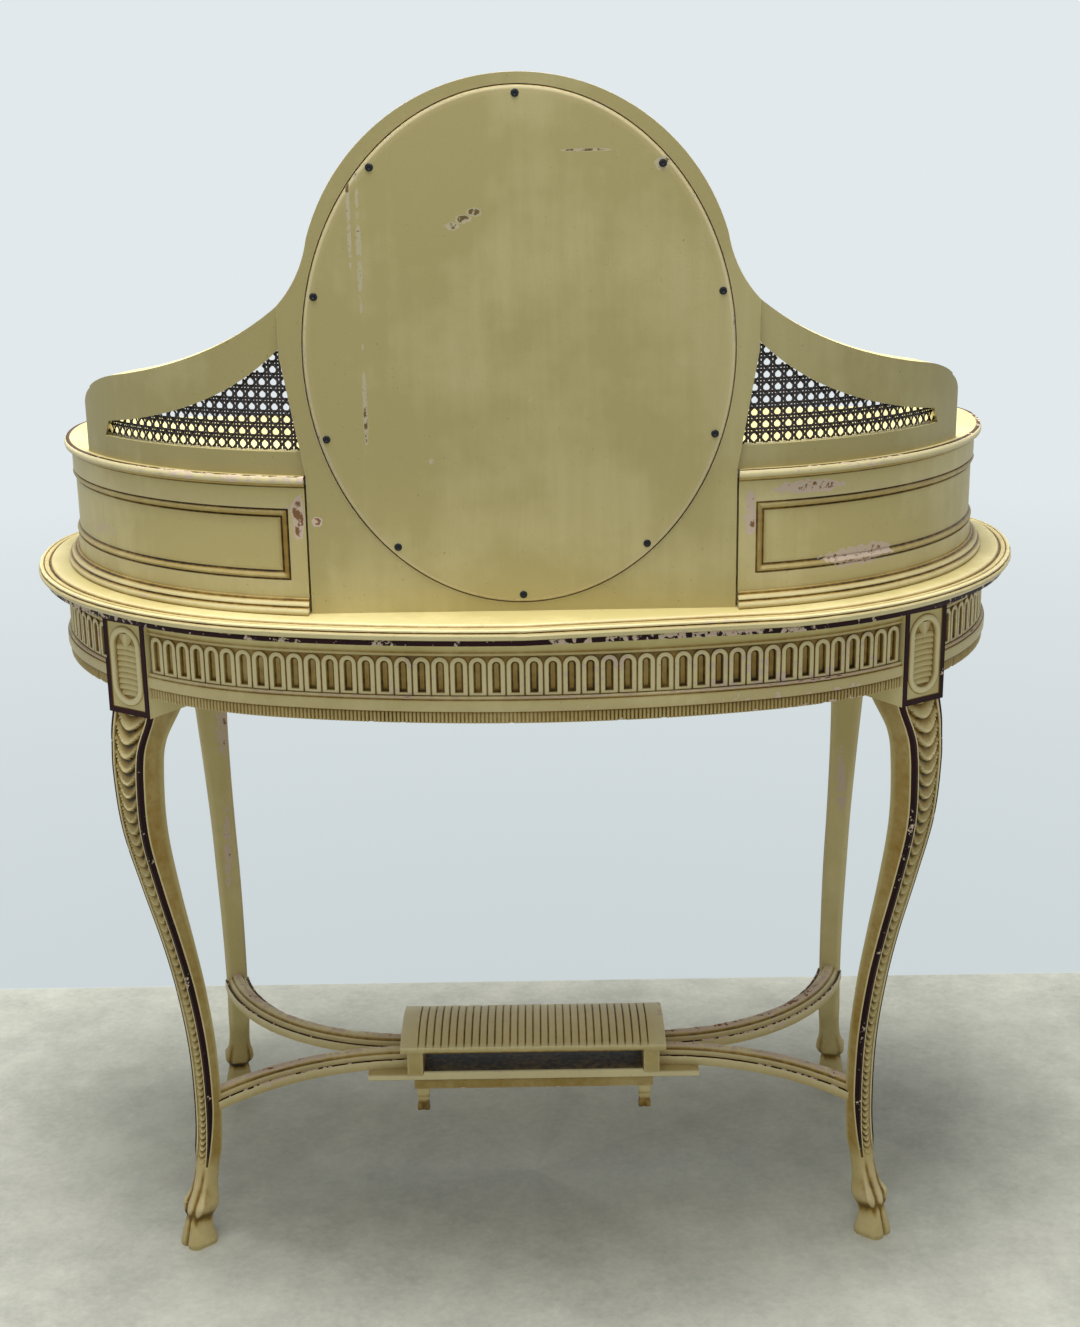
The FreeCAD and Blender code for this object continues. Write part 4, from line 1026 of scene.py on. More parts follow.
def carve_apron(node, first, last, side="right", fluted=True):
    """Frieze from one normal to another: reeds, lower band, flutes and coved upper band."""
    carving = Carving(*paints())
    face = APRON_INSET
    back = face + APRON_THICKNESS
    bead = APRON_FOOT + BEAD_HEIGHT
    foot, head, top = FLUTE_FOOT, FLUTE_HEAD, UNDER_TOP
    if not fluted:
        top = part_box("front_drawer_rail")[1].z / MM
    # Inset, height, soiling and painted shade, and rubbing and painted highlight.
    section = [
        (back, APRON_FOOT, 0.3, 0.0),
        (face + 2, APRON_FOOT, 0.3, 0.0),
        (face + 2, bead - 0.2, 0.9, 0.0),
        (face - 3.4, bead, 0.9, 0.0),
        (face - 4.0, bead + 0.9, 0.2, 0.8),
    ]
    if fluted:
        section += [
            (face - 4.0, foot - 5.2, 0.1, 0.3),
            (face - 3.6, foot - 3.8, 0.3, 0.3),
            (face - 2.6, foot - 3.6, 0.9, 0.0),
            (face - 2.6, foot - 1.2, 0.1, 1.4),
            (face - 1.8, foot - 0.4, 0.0, 1.4),
            (face + 0.2, foot, 0.9, 0.0),
            (face + 4.0, foot + 0.2, 1.0, 0.0),
            (face + 4.0, head - 0.2, 1.0, 0.0),
            (face + 0.2, head, 0.9, 0.0),
            (face - 0.6, head + 0.6, 0.3, 0.4),
            (face - 0.8, head + 2.2, 0.1, 0.5),
            (face - 0.6, head + 3.4, 0.7, 0.0),
            (face - 0.8, head + 6.0, 0.1, 0.0),
            (face - 1.4, head + 9.0, 0.0, 0.0),
            (face - 2.4, head + 11.6, 0.0, 0.1),
            (face - 3.0, head + 13.2, 0.1, 0.2),
            (face - 3.0, top - 0.1, 0.7, 0.0),
        ]
    else:
        section += [(face - 4.0, top - 0.6, 0.1, 0.6), (face - 3.4, top, 0.0, 0.8)]
    section += [(back, top, 0.2, 0.0)]
    carving.bar([edge_line(angle, section) for angle in edge_angles(first, last, EDGE_STEP, face)])
    carve_reeds(carving, first, last)
    if fluted:
        pitch = bpy.context.scene.dressing_carving.flute_pitch / MM
        start = along_edge(first, FLUTE_STOP, face)
        stop = along_edge(last, -FLUTE_STOP_FRONT if "front" in node else -FLUTE_STOP, face)
        carve_flutes(carving, start, stop, foot, head, pitch)
    carving.on_side(side).piece(node)


def leg_place(angle):
    """Middle of the block's face in plan."""
    return edge_point(angle, APRON_INSET - BLOCK_PROUD)


def scale_relief(across, height):
    """Relief, glaze with a painted shadow under each lip, and rubbing with a painted highlight, of the
    leg's overlapping scales at a share across and a height.
    """
    sizes = bpy.context.scene.dressing_carving
    head, foot = sizes.scale_head / MM, sizes.scale_foot / MM
    slope = (head - foot) / (LEG_TOP - SCALES_FOOT)
    pitch = foot + slope * (max(height, SCALES_FOOT) - SCALES_FOOT)
    part = (math.log(head / pitch) / slope - 1.1 * (1 - across * across)) % 1
    tall = 0.38 * pitch
    lip = bell(part, 0.84, 0.14)
    relief = tall * (0.45 * part + 0.6 * lip) * (1 - 0.35 * across * across) - 0.85 * tall
    fade = ease(78, 92, height)
    # Painted shadow under each scale's lip, a thin glaze over the scale, and darker towards the sides of
    # the field.
    glaze_and_shade = 0.3 * (1 - lip) + 1.1 * max(1 - part / 0.55, 0) + 0.3 * across**4
    return relief * fade, min(glaze_and_shade, 1.2) * fade, lip * fade


def hoof_shape(a, b, half, deep, height):
    """Shaggy fetlock and cloven hoof at a height: place, soiling and painted shade, and rubbing and painted
    highlight of a point of the section.
    """
    u, w = a / half, 1 + 2 * b / deep
    size = (abs(u) ** 2.8 + abs(w) ** 2.8) ** (1 / 2.8)
    u, w = u / size, w / size
    # Up the leg: the hoof to 33 mm, the hem of the hair over it, dew claws at 47 and the tuft to 92.
    ahead = max(w, 0)
    beside = bell(abs(u), 0.8, 0.35) * ease(-0.6, 0.0, w)
    lock = math.cos(9 * math.atan2(u, w))
    hem = height + 2.6 * lock
    toe = ease(32, 20, height) * ahead
    tuft = ease(37, 44, hem) * ease(92, 72, height) * ahead
    hair = ease(35, 40, hem) * ease(74, 56, height)
    claw = bell(height, 47, 6) * beside
    split = bell(a, 0, 1.5) * toe
    bump = 2.2 * bell(a, 0, 4) * tuft + 3.0 * claw + 1.2 * bell(abs(u), 0.45, 0.3) * toe
    bump += (1.0 + 0.7 * lock) * hair
    bump -= 1.4 * bell(hem, 33, 2.8) + 7.5 * split + 1.6 * ease(5, 0, height)
    grime_and_shade = 0.7 * bell(hem, 33, 4.5) + split + 0.6 * bell(abs(a), 7, 1.6) * tuft
    grime_and_shade += 0.8 * bell(hem, 37, 2.5) + 0.45 * max(-lock, 0) * hair + 0.25
    reach = Vector((u * half, w * deep / 2))
    spot = reach + reach.normalized() * bump
    return spot.x, spot.y - deep / 2, min(grime_and_shade, 1), min(claw + 0.6 * tuft + 0.3, 1)


def carve_leg(place, side):
    """Cabriole leg with its block: scaled face, lined channels, hoof and framed block."""
    angle, turn = LEG_STANCES[place]
    out = heading(turn)
    sideways = Vector((out.y, -out.x, 0))
    origin = leg_place(angle)
    carving = Carving(*paints())
    rows = 520
    lines, levels = [], []
    for number in range(rows + 1):
        share = number / rows
        height = share * LEG_TOP
        sweep, width, depth = smooth_row(LEG_SHARES, min(share, 0.9999))
        half = width * BLOCK_WIDTH / 2
        deep = depth * BLOCK_WIDTH
        face = origin + out * (sweep * LEG_SWEEP) + UP * height
        field = half - 5.8
        channel = 5.2 * ease(86, 165, height) + 0.2
        ring = []
        for column in range(-SCALE_COLUMNS, SCALE_COLUMNS + 1):
            across = column / SCALE_COLUMNS
            relief, shadow, lip = scale_relief(across, height)
            ring.append((across * field, relief, shadow, lip * 0.7))
        # Distance across, level, soiling and painted shade, and rubbing and painted highlight, from the
        # scaled face round to the back.
        edge = [
            (field + 0.2, -2.6, 0.9, 0.0),
            (field + 0.6, -0.6, 0.1, 0.8),
            (half - 3.6, -0.2, 0.0, 0.9),
            (half - 3.4, -0.6, 0.0, 0.4),
            (half - 0.3, -0.8, 0.0, 0.6),
            (half - 0.3, -0.8 - channel, 0.0, 0.4),
            (half, -1.2 - channel, 0.0, 0.3),
            (half, -2.2 - channel, 0.0, 0.9),
            (half, -3.6 - channel, 0.55, 0.1),
            (half, -0.72 * deep, 0.5, 0.0),
            (half - 0.5, 2.5 - deep, 0.1, 0.3),
            (half - 2.5, 0.4 - deep, 0.0, 0.6),
            (half * 0.5, -deep, 0.0, 0.1),
        ]
        ring += edge
        ring += [(-a, b, g, r) for a, b, g, r in reversed(edge)]
        hoof = ease(108, SCALES_FOOT, height)
        askew = turn + LEG_TWIST[place] * ease(LEG_TOP, LEG_TOP - 40, height)
        ahead = heading(askew)
        beside = Vector((ahead.y, -ahead.x, 0))
        core = face - out * (deep / 2)
        line = []
        for a, b, grime_and_shade, rub_and_highlight in ring:
            if hoof:
                shaped = hoof_shape(a, min(b, 0), half, deep, height)
                a, b, grime_and_shade, rub_and_highlight = (p + (q - p) * hoof for p, q in zip((a, b, grime_and_shade, rub_and_highlight), shaped))
            line.append((core + beside * a + ahead * (b + deep / 2), grime_and_shade, rub_and_highlight))
        lines.append(line)
        levels.append(height)
    # Strips of the ring in the lined channels: three of the edge on the right, and its mirror image.
    scaled = 2 * SCALE_COLUMNS + 1
    right = range(scaled + 3, scaled + 6)
    channels = [*right, *(2 * (scaled + len(edge) - 1) - strip for strip in right)]

    def finish(row, column):
        return LINING if column in channels and levels[row] > CHANNEL_FOOT else CREAM

    carving.bar(lines, finish)
    carve_block(carving, origin, out, sideways)
    carving.on_side(side).piece(f"leg_{place}_{side}", crease=42)


def stadium(half_width, half_height, count):
    """Upright outline with round ends, about a centre."""
    rise = half_height - half_width
    points = []
    for number in range(count):
        turn = 2 * math.pi * (number + 0.5) / count
        shift = rise if math.sin(turn) > 0 else -rise
        points.append((half_width * math.cos(turn), shift + half_width * math.sin(turn)))
    return points


def carve_block(carving, origin, out, sideways):
    """Block at the head of a leg: a lined frame round a raised ring with ribs and a leaf in it."""
    half = BLOCK_WIDTH / 2
    tall = BLOCK_HEIGHT / 2
    middle = origin + UP * (LEG_TOP + tall)
    count = 44
    ring_wide, ring_tall = 21.2, 41.2
    base = stadium(half * 0.5, tall * 0.6, count)

    def box(inset):
        return on_rectangle(base, half - inset, -(tall - inset), tall - inset, 0)

    def ring(inset):
        return stadium(ring_wide - inset, ring_tall - inset, count)

    def spot(u, v, level, grime_and_shade, rub_and_highlight):
        return middle + sideways * u + UP * v + out * level, grime_and_shade, rub_and_highlight

    # Outline, level over the block's face, soiling and painted shade, rubbing and painted highlight, and
    # finish of the strip that follows.
    rings = [
        (box(0), -BLOCK_WIDTH, 0.0, 0.0, CREAM),
        (box(0), -0.8, 0.0, 0.5, LINING),
        (box(0.8), 0.0, 0.0, 0.5, LINING),
        (box(5.8), 0.0, 0.0, 0.4, LINING),
        (box(6.6), -1.0, 0.5, 0.2, CREAM),
        (box(7.2), -1.4, 0.1, 0.1, CREAM),
        (ring(-0.4), -1.6, 0.15, 0.0, CREAM),
        (ring(0), -1.6, 1.0, 0.0, CREAM),
        (ring(0.7), -0.6, 0.2, 0.5, CREAM),
        (ring(1.9), 0.2, 0.0, 0.9, CREAM),
        (ring(5.6), 0.2, 0.0, 0.8, CREAM),
        (ring(6.8), -0.8, 0.3, 0.4, CREAM),
        (ring(7.6), -3.4, 1.0, 0.0, CREAM),
        (ring(8.4), -3.9, 0.6, 0.0, CREAM),
    ]
    lines = [[spot(u, v, level, grime_and_shade, rub_and_highlight) for u, v in outline] for outline, level, grime_and_shade, rub_and_highlight, _ in rings]
    carving.bar(lines, lambda row, column: rings[row][4])
    # Shallow ribs up the recess, with a leaf that hangs over them from the top.
    ribs, rib_pitch, lowest = 9, 5.9, -31
    recess_half, straight_half, round_end = 13.4, 20, 13.6
    for number in range(ribs):
        foot = lowest + number * rib_pitch
        past = max(abs(foot + 2.5) - straight_half, 0)
        reach = recess_half * math.sqrt(1 - (past / round_end) ** 2)
        spans = []
        for step in range(-5, 6):
            t = step / 5
            low = foot - 1.2 * t * t
            swell = 0.7 * (1 - t * t)
            spans.append([
                spot(reach * t, low, -4.6, 1.0, 0.0),
                spot(reach * t, low + 0.3, swell - 3.3, 0.7, 0.1),
                spot(reach * t, low + 1.2, swell - 2.7, 0.1, 0.5),
                spot(reach * t, low + 3.4, swell - 2.9, 0.15, 0.1),
                spot(reach * t, low + 6.2, swell - 3.8, 0.5, 0.0),
                spot(reach * t, low + 3.0, -5.0, 1.0, 0.0),
            ])
        carving.bar(spans)
    leaf_half, leaf_foot, leaf_height, leaf_steps = 10.5, 15, 18, 9
    spans = []
    for step in range(leaf_steps + 1):
        share = step / leaf_steps
        wide = 0.3 + leaf_half * math.sin(share * math.pi / 2) ** 1.6
        high = leaf_foot + leaf_height * share
        spans.append([
            spot(-wide, high, -4.2, 1.0, 0.0),
            spot(-wide * 0.8, high, -2.4, 0.3, 0.4),
            spot(-wide * 0.3, high, -1.9, 0.2, 0.4),
            spot(0, high, -1.2, 0.0, 0.8),
            spot(wide * 0.3, high, -1.9, 0.2, 0.4),
            spot(wide * 0.8, high, -2.4, 0.3, 0.4),
            spot(wide, high, -4.2, 1.0, 0.0),
            spot(0, high, -5.0, 1.0, 0.0),
        ])
    carving.bar(spans)


def leg_middle(place, height):
    """Middle of a leg in plan at a height, and its depth there."""
    angle, turn = LEG_STANCES[place]
    sweep, _, depth = smooth_row(LEG_SHARES, height / LEG_TOP)
    deep = depth * BLOCK_WIDTH
    return leg_place(angle) + heading(turn) * (sweep * LEG_SWEEP - deep / 2), deep


def carve_stretcher(place, side):
    """Moulded arm from the footrest's end block round to a leg, with a lined quirk each side."""
    start = Vector((FOOTREST_HALF - STRETCHER_LET_IN, STRETCHER_HALF, 0))
    middle, deep = leg_middle(place, STRETCHER_FOOT + STRETCHER_HEIGHT / 2)
    run = middle.x - start.x
    rise = abs(middle.y) - start.y
    radius = (run**2 + rise**2) / (2 * rise)
    bend = math.atan2(run, radius - rise) - (deep / 2 - STRETCHER_LET_IN) / radius
    # Across, height, soiling and painted shade, rubbing and painted highlight, and finish, from the foot of
    # the outer side up to the crest.
    outer = [
        (15.0, 0.3, 0.3, 0.4, CREAM),
        (15.0, 8.0, 0.1, 0.9, CREAM),
        (14.4, 10.2, 0.0, 0.9, LINING),
        (12.4, 10.9, 0.0, 0.8, LINING),
        (11.4, 10.0, 0.9, 0.1, CREAM),
        (10.4, 10.4, 0.2, 0.3, CREAM),
        (9.4, 12.6, 0.2, 0.6, CREAM),
        (8.0, 14.4, 0.0, 0.9, CREAM),
        (6.9, 14.7, 0.9, 0.0, CREAM),
        (6.3, 15.6, 0.8, 0.1, CREAM),
        (5.0, 18.0, 0.2, 1.2, CREAM),
        (2.6, 19.6, 0.1, 1.6, CREAM),
    ]
    section = [(-a, b, g, r, f) for a, b, g, r, f in outer]
    strips = [spot[4] for spot in outer[:-1]] + [CREAM]
    section += [(0.0, 20.0, 0.1, 1.6, CREAM)] + list(reversed(outer))
    strips += [CREAM] + list(reversed(strips[:-1])) + [CREAM]
    sign = 1 if place == "back" else -1
    carving = Carving(*paints())
    lines = []
    stations = 60
    for number in range(stations + 1):
        turn = bend * number / stations
        line = []
        for across, height, grime_and_shade, rub_and_highlight, _ in section:
            reach = radius - across
            x = start.x + reach * math.sin(turn)
            y = start.y + radius - reach * math.cos(turn)
            spot = Vector((x, sign * y, STRETCHER_FOOT + height))
            nick = rub_and_highlight * knock(spot, 11, 0.2, 1.6)
            line.append((spot - UP * nick, grime_and_shade, rub_and_highlight))
        lines.append(line)
    carving.bar(lines, lambda row, column: strips[column] if column < len(strips) else CREAM)
    carving.on_side(side).piece(f"stretcher_{place}_{side}")


def carve_footrest_top():
    """Domed footrest with rounded ribs across it and a plain strip at each end."""
    ribs = bpy.context.scene.dressing_carving.rib_count
    half = FOOTREST_DEPTH / 2
    run = 2 * (FOOTREST_HALF - FOOTREST_END)
    pitch = run / ribs
    radius = (half**2 + FOOTREST_CROWN**2) / (2 * FOOTREST_CROWN)
    axis = FOOTREST_TOP - radius
    rounds = 16
    # Place along the footrest, drop below the dome, soiling and painted shade, and rubbing and painted
    # highlight.
    stations = [(-FOOTREST_HALF, 1.2, 0.0, 0.9), (-FOOTREST_HALF + 1.2, 0.0, 0.0, 0.9)]
    stations += [(-run / 2 - 0.8, 0.0, 0.0, 0.4)]
    for rib in range(ribs):
        left = -run / 2 + rib * pitch
        for share, drop, grime_and_shade, rub_and_highlight in (
            (0.0, 1.7, 1.0, 0.0),
            (0.08, 0.9, 0.6, 0.0),
            (0.17, 0.1, 0.05, 0.6),
            (0.5, 0.0, 0.0, 0.3),
            (0.83, 0.1, 0.05, 0.6),
            (0.92, 0.9, 0.6, 0.0),
        ):
            stations.append((left + share * pitch, drop, grime_and_shade, rub_and_highlight))
    stations += [(run / 2, 1.7, 1.0, 0.0)]
    stations += [(-x, drop, g, r) for x, drop, g, r in reversed(stations[:3])]
    carving = Carving(*paints())
    lines = []
    for x, drop, grime_and_shade, rub_and_highlight in stations:
        ring = []
        for number in range(rounds + 1):
            y = half * (2 * number / rounds - 1)
            rise = axis + math.sqrt(radius**2 - y**2)
            end = bell(abs(y), half, 4)
            cut = 0.15 if number in (0, rounds) else 1
            spot = Vector((x, y, rise - drop * cut))
            nick = (rub_and_highlight * 0.6 + end) * knock(spot, 9, 0.2, 2.2)
            ring.append((spot - UP * nick, grime_and_shade * cut, max(rub_and_highlight, end * 0.9)))
        # Painted shade on the underside inside the tray's slot, a light glaze beyond it.
        tray = 0.9 if abs(x) < TRAY_HALF else 0.2
        ring.append((Vector((x, half, FOOTREST_SEAT + 3)), 0.2, 0.2))
        ring.append((Vector((x, half - 1.5, FOOTREST_SEAT)), tray, 0.2))
        ring.append((Vector((x, 1.5 - half, FOOTREST_SEAT)), tray, 0.2))
        ring.append((Vector((x, -half, FOOTREST_SEAT + 3)), 0.2, 0.2))
        lines.append(ring)
    carving.bar(lines)
    carving.piece("footrest_top", crease=50)


def carve_footrest_plate():
    """Plate under the footrest, darkened with painted shade where the tray over it keeps the light away."""
    low, high = (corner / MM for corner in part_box("footrest_base_plate"))
    # Depth, height, soiling and painted shade, and rubbing and painted highlight.
    section = (
        (high.y - 1, low.z, 0.3, 0.2),
        (high.y, low.z + 1, 0.0, 0.8),
        (high.y, high.z - 1, 0.0, 0.9),
        (high.y - 1, high.z, 0.0, 0.9),
        (high.y - 3, high.z, 0.1, 0.9),
        (high.y - 4, high.z, 1.0, 0.0),
        (low.y + 4, high.z, 1.0, 0.0),
        (low.y + 3, high.z, 0.1, 0.9),
        (low.y + 1, high.z, 0.0, 0.9),
        (low.y, high.z - 1, 0.0, 0.9),
        (low.y, low.z + 1, 0.0, 0.8),
        (low.y + 1, low.z, 0.3, 0.2),
    )
    carving = Carving(*paints())
    lines = []
    for x in (low.x, -TRAY_HALF - 1, 1 - TRAY_HALF, 0, TRAY_HALF - 1, TRAY_HALF + 1, high.x):
        hidden = abs(x) < TRAY_HALF
        line = []
        for y, z, grime_and_shade, rub_and_highlight in section:
            # Under the tray the plate's top keeps its painted shade; beyond it, it gets only a light glaze.
            lip = TRAY_LIP if hidden and z > high.z - 2 and grime_and_shade < 1 else 0
            line.append((Vector((x, y, z + lip)), grime_and_shade if hidden or grime_and_shade < 1 else 0.2, rub_and_highlight))
        lines.append(line)
    carving.bar(lines)
    carving.piece("footrest_base_plate")


def carve_footrest_feet():
    """Four little hoofed feet that hang under the footrest's rail."""
    low, high = (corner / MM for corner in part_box("footrest_feet"))
    tall = high.z - low.z
    # Share of the height, share of the width, and soiling and painted shade, darkest at the foot.
    rows = (
        (0.0, 0.86, 1.0),
        (0.18, 0.84, 0.8),
        (0.32, 0.66, 0.9),
        (0.42, 0.72, 0.4),
        (0.52, 0.84, 0.25),
        (0.60, 0.76, 0.5),
        (0.72, 0.86, 0.15),
        (1.0, 0.96, 0.1),
    )
    wide = FOOTREST_FOOT_WIDTH
    levels, steps = 28, 24
    carving = Carving(*paints())
    reach = Vector(((high.x - low.x - wide) / 2, (high.y - low.y - wide) / 2, 0))
    for a, b in ((-1, -1), (-1, 1), (1, -1), (1, 1)):
        lines = []
        for number in range(levels + 1):
            share = number / levels
            width, grime_and_shade = smooth_row(rows, min(share, 0.9999))
            half = width * wide / 2
            ring = []
            for step in range(steps):
                turn = 2 * math.pi * step / steps
                c, s = math.cos(turn), math.sin(turn)
                squared = 1 / max(abs(c), abs(s)) ** 0.7
                cleft = 1 - 0.25 * bell(s, b, 0.12) * bell(c, 0, 0.25) * ease(0.34, 0.2, share)
                spot = Vector((a * reach.x, b * reach.y, high.z - (1 - share) * tall))
                spot += Vector((c, s, 0)) * (half * min(squared, 1.25) * 0.92 * cleft)
                ring.append((spot, grime_and_shade if cleft > 0.97 else 1.0, 0.4))
            lines.append(ring)
        carving.bar(lines)
    carving.piece("footrest_feet", crease=45)


def back_angle(inset, x=CABINET_END):
    """Normal at which an inset line of the back edge passes an x."""
    return math.degrees(math.asin(x / (BACK_RADIUS - inset)))


def front_angle(inset, y):
    """Normal at which an inset line of the corner arc passes a depth."""
    centre = EDGE[2][0]
    return math.degrees(math.acos((y - centre.y) / (CORNER_RADIUS - inset)))


def carve_cabinet_slab(part, profile, front, side):
    """Bottom or top of a cabinet, moulded round its curve and cut square at mirror and front."""
    carving = Carving(*paints())
    stations = 110
    rings = []
    for inset, height, grime_and_shade, rub_and_highlight, _ in profile:
        first, last = back_angle(inset), front_angle(inset, front)
        angles = edge_angles(first, last, 1, inset)
        picks = [angles[round(i * (len(angles) - 1) / stations)] for i in range(stations + 1)]
        ring = []
        for angle in picks:
            spot = edge_point(angle, inset, height)
            nick = rub_and_highlight * knock(spot, 12, 0.25, 1.6)
            ring.append((spot - heading(angle) * nick, grime_and_shade, rub_and_highlight))
        ring.append((Vector((CABINET_END, front, height)), 0.2, 0.2))
        rings.append(ring)
    carving.bar(rings, lambda row, column: profile[row][4])
    carving.on_side(side).piece(f"{side}_cabinet_{part}")


# Margins of the sunk panels at their ends, under and over them.
WALL_MARGINS = (17, 16, 20)
DRAWER_MARGINS = (16, 14, 18)
# Sunk panel: distance inside its outline, level, soiling and painted shade, and rubbing and painted
# highlight.
PANEL_STEPS = (
    (0.0, 0.0, 0.1, 0.5),
    (0.6, -1.6, 1.0, 0.0),
    (1.6, -1.6, 1.0, 0.0),
    (2.2, -0.2, 0.6, 0.2),
    (4.0, 0.6, 0.55, 0.2),
    (6.4, -0.6, 0.62, 0.0),
    (7.4, -2.6, 1.0, 0.0),
    (8.6, -3.2, 1.0, 0.0),
    (9.4, -2.4, 0.3, 0.1),
    (13.0, -2.4, 0.05, 0.0),
)


def panel_level(inside):
    """Level, soiling and painted shade, and rubbing and painted highlight of a panelled face at a distance
    inside the panel's outline.
    """
    if inside < -TINY:
        return 0.0, 0.0, 0.0
    return next(step[1:] for step in reversed(PANEL_STEPS) if inside >= step[0] - TINY)


def carve_panel(carving, span, levels, margins, stations, place, back):
    """Board with a sunk, moulded panel.

    place(run, height, level) is a point of its face and back(run, height) one of its back. The margins
    round the panel are those at its ends, under it and over it.
    """
    low, high = levels
    side, under, over = margins
    offsets = [step[0] for step in PANEL_STEPS]
    inner = span - 2 * side - 2 * offsets[-1]
    runs = [0.0] + [side + o for o in offsets]
    runs += [side + offsets[-1] + inner * i / stations for i in range(1, stations)]
    runs += [span - side - o for o in reversed(offsets)] + [span]
    heights = [low] + [low + under + o for o in offsets]
    heights += [high - over - o for o in reversed(offsets)] + [high]
    lines = []
    for run in runs:
        ring = []
        for height in heights:
            inside_by = min(run - side, span - side - run, height - low - under, high - over - height)
            level, grime_and_shade, rub_and_highlight = panel_level(inside_by)
            # On the strips over and under the panel the glaze and painted shade are halved.
            if inside_by < min(run - side, span - side - run) and grime_and_shade < 0.9:
                grime_and_shade *= 0.5
            ring.append((place(run, height, level), grime_and_shade, rub_and_highlight))
        ring += [(back(run, high), 0.0, 0.0), (back(run, low), 0.0, 0.0)]
        lines.append(ring)
    carving.bar(lines)


def carve_cabinet_wall(side):
    """Curved cabinet wall with a sunk, moulded panel along it."""
    outer = CABINET_WALL_INSET
    inner = outer + CABINET_WALL_THICKNESS
    first, last = back_angle(outer), front_angle(outer, CABINET_FRONT)
    start, stop = back_angle(inner), front_angle(inner, CABINET_FRONT)
    span, angle_at = edge_ruler(first, last, outer, step=0.2)

    def place(run, height, level):
        return edge_point(angle_at(run), outer - level, height)

    def back(run, height):
        share = (angle_at(run) - first) / (last - first)
        return edge_point(start + (stop - start) * share, inner, height)

    carving = Carving(*paints())
    carve_panel(carving, span, (CABINET_FLOOR, CABINET_CEILING), WALL_MARGINS, 80, place, back)
    carving.on_side(side).piece(f"{side}_cabinet_wall")


def carve_cabinet_drawer_front(side):
    """Straight drawer front of a cabinet with the same sunk panel as the wall."""
    low, high = (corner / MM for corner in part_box("right_drawer_front"))

    def place(run, height, level):
        return Vector((low.x + run, low.y - level, height))

    def back(run, height):
        return Vector((low.x + run, high.y, height))

    carving = Carving(*paints())
    carve_panel(carving, high.x - low.x, (low.z, high.z), DRAWER_MARGINS, 2, place, back)
    carving.on_side(side).piece(f"{side}_drawer_front", body=f"{side}_drawer")


def carve_frieze_drawer_front():
    """Bowed front of the frieze drawer, fluted like the aprons, with plain cells behind the knobs."""
    low, high = (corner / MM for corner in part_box("frieze_drawer_front"))
    face, back = APRON_INSET, APRON_INSET + FRIEZE_FRONT_THICKNESS
    foot, head = FLUTE_FOOT, FLUTE_HEAD
    # Inset, height, soiling and painted shade, and rubbing and painted highlight.
    section = (
        (back, low.z, 0.1, 0.0),
        (face + 0.8, low.z, 0.0, 0.6),
        (face, low.z + 0.8, 0.0, 0.9),
        (face, foot - 1.6, 0.0, 0.5),
        (face + 0.8, foot - 0.8, 0.6, 0.3),
        (face + 4.2, foot, 1.0, 0.0),
        (face + 4.2, head, 1.0, 0.0),
        (face + 0.8, head + 0.8, 0.6, 0.3),
        (face, head + 1.6, 0.0, 0.5),
        (face, high.z - 0.8, 0.0, 0.9),
        (face + 0.8, high.z, 0.0, 0.6),
        (back, high.z, 0.1, 0.0),
    )
    lean = math.degrees(math.asin(high.x / (FRONT_RADIUS - face)))
    carving = Carving(*paints())
    carving.bar([edge_line(angle, section) for angle in edge_angles(180 - lean, 180 + lean, 12, face)])
    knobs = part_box("frieze_drawer_knobs")[1].x / MM - KNOB_RADIUS
    pitch = bpy.context.scene.dressing_carving.flute_pitch / MM
    stop = math.degrees(FLUTE_STOP_FRONT / (FRONT_RADIUS - face))

    def behind_knob(angle):
        return abs(abs(edge_point(angle, face).x) - knobs) < pitch * 0.9

    carve_flutes(carving, 180 - lean + stop, 180 + lean - stop, foot, head, pitch, behind_knob)
    carving.piece("frieze_drawer_front", body="frieze_drawer")


def bottom_profile():
    """Two rounded mouldings with dark quirks, from the table top up to the cabinet wall."""
    # Inset, height, soiling and painted shade, rubbing and painted highlight, and finish of the strip that
    # follows.
    low, top = TABLE_TOP, CABINET_FLOOR
    return (
        (34.0, low, 0.8, 0.0, CREAM),
        (33.2, low + 1.0, 0.4, 0.2, CREAM),
        (33.0, low + 3.2, 0.0, 0.7, CREAM),
        (33.6, low + 5.6, 0.0, 0.6, CREAM),
        (35.0, low + 6.8, 0.6, 0.1, CREAM),
        (36.8, low + 7.0, 1.0, 0.0, CREAM),
        (37.2, low + 7.8, 0.9, 0.0, CREAM),
        (36.6, low + 8.8, 0.1, 0.5, CREAM),
        (37.2, low + 10.8, 0.0, 0.7, CREAM),
        (39.0, low + 12.2, 0.3, 0.3, CREAM),
        (41.6, low + 12.6, 1.0, 0.0, CREAM),
        (42.0, low + 13.6, 0.9, 0.0, CREAM),
        (42.6, top - 0.2, 0.3, 0.3, CREAM),
        (44.0, top, 0.7, 0.0, CREAM),
    )


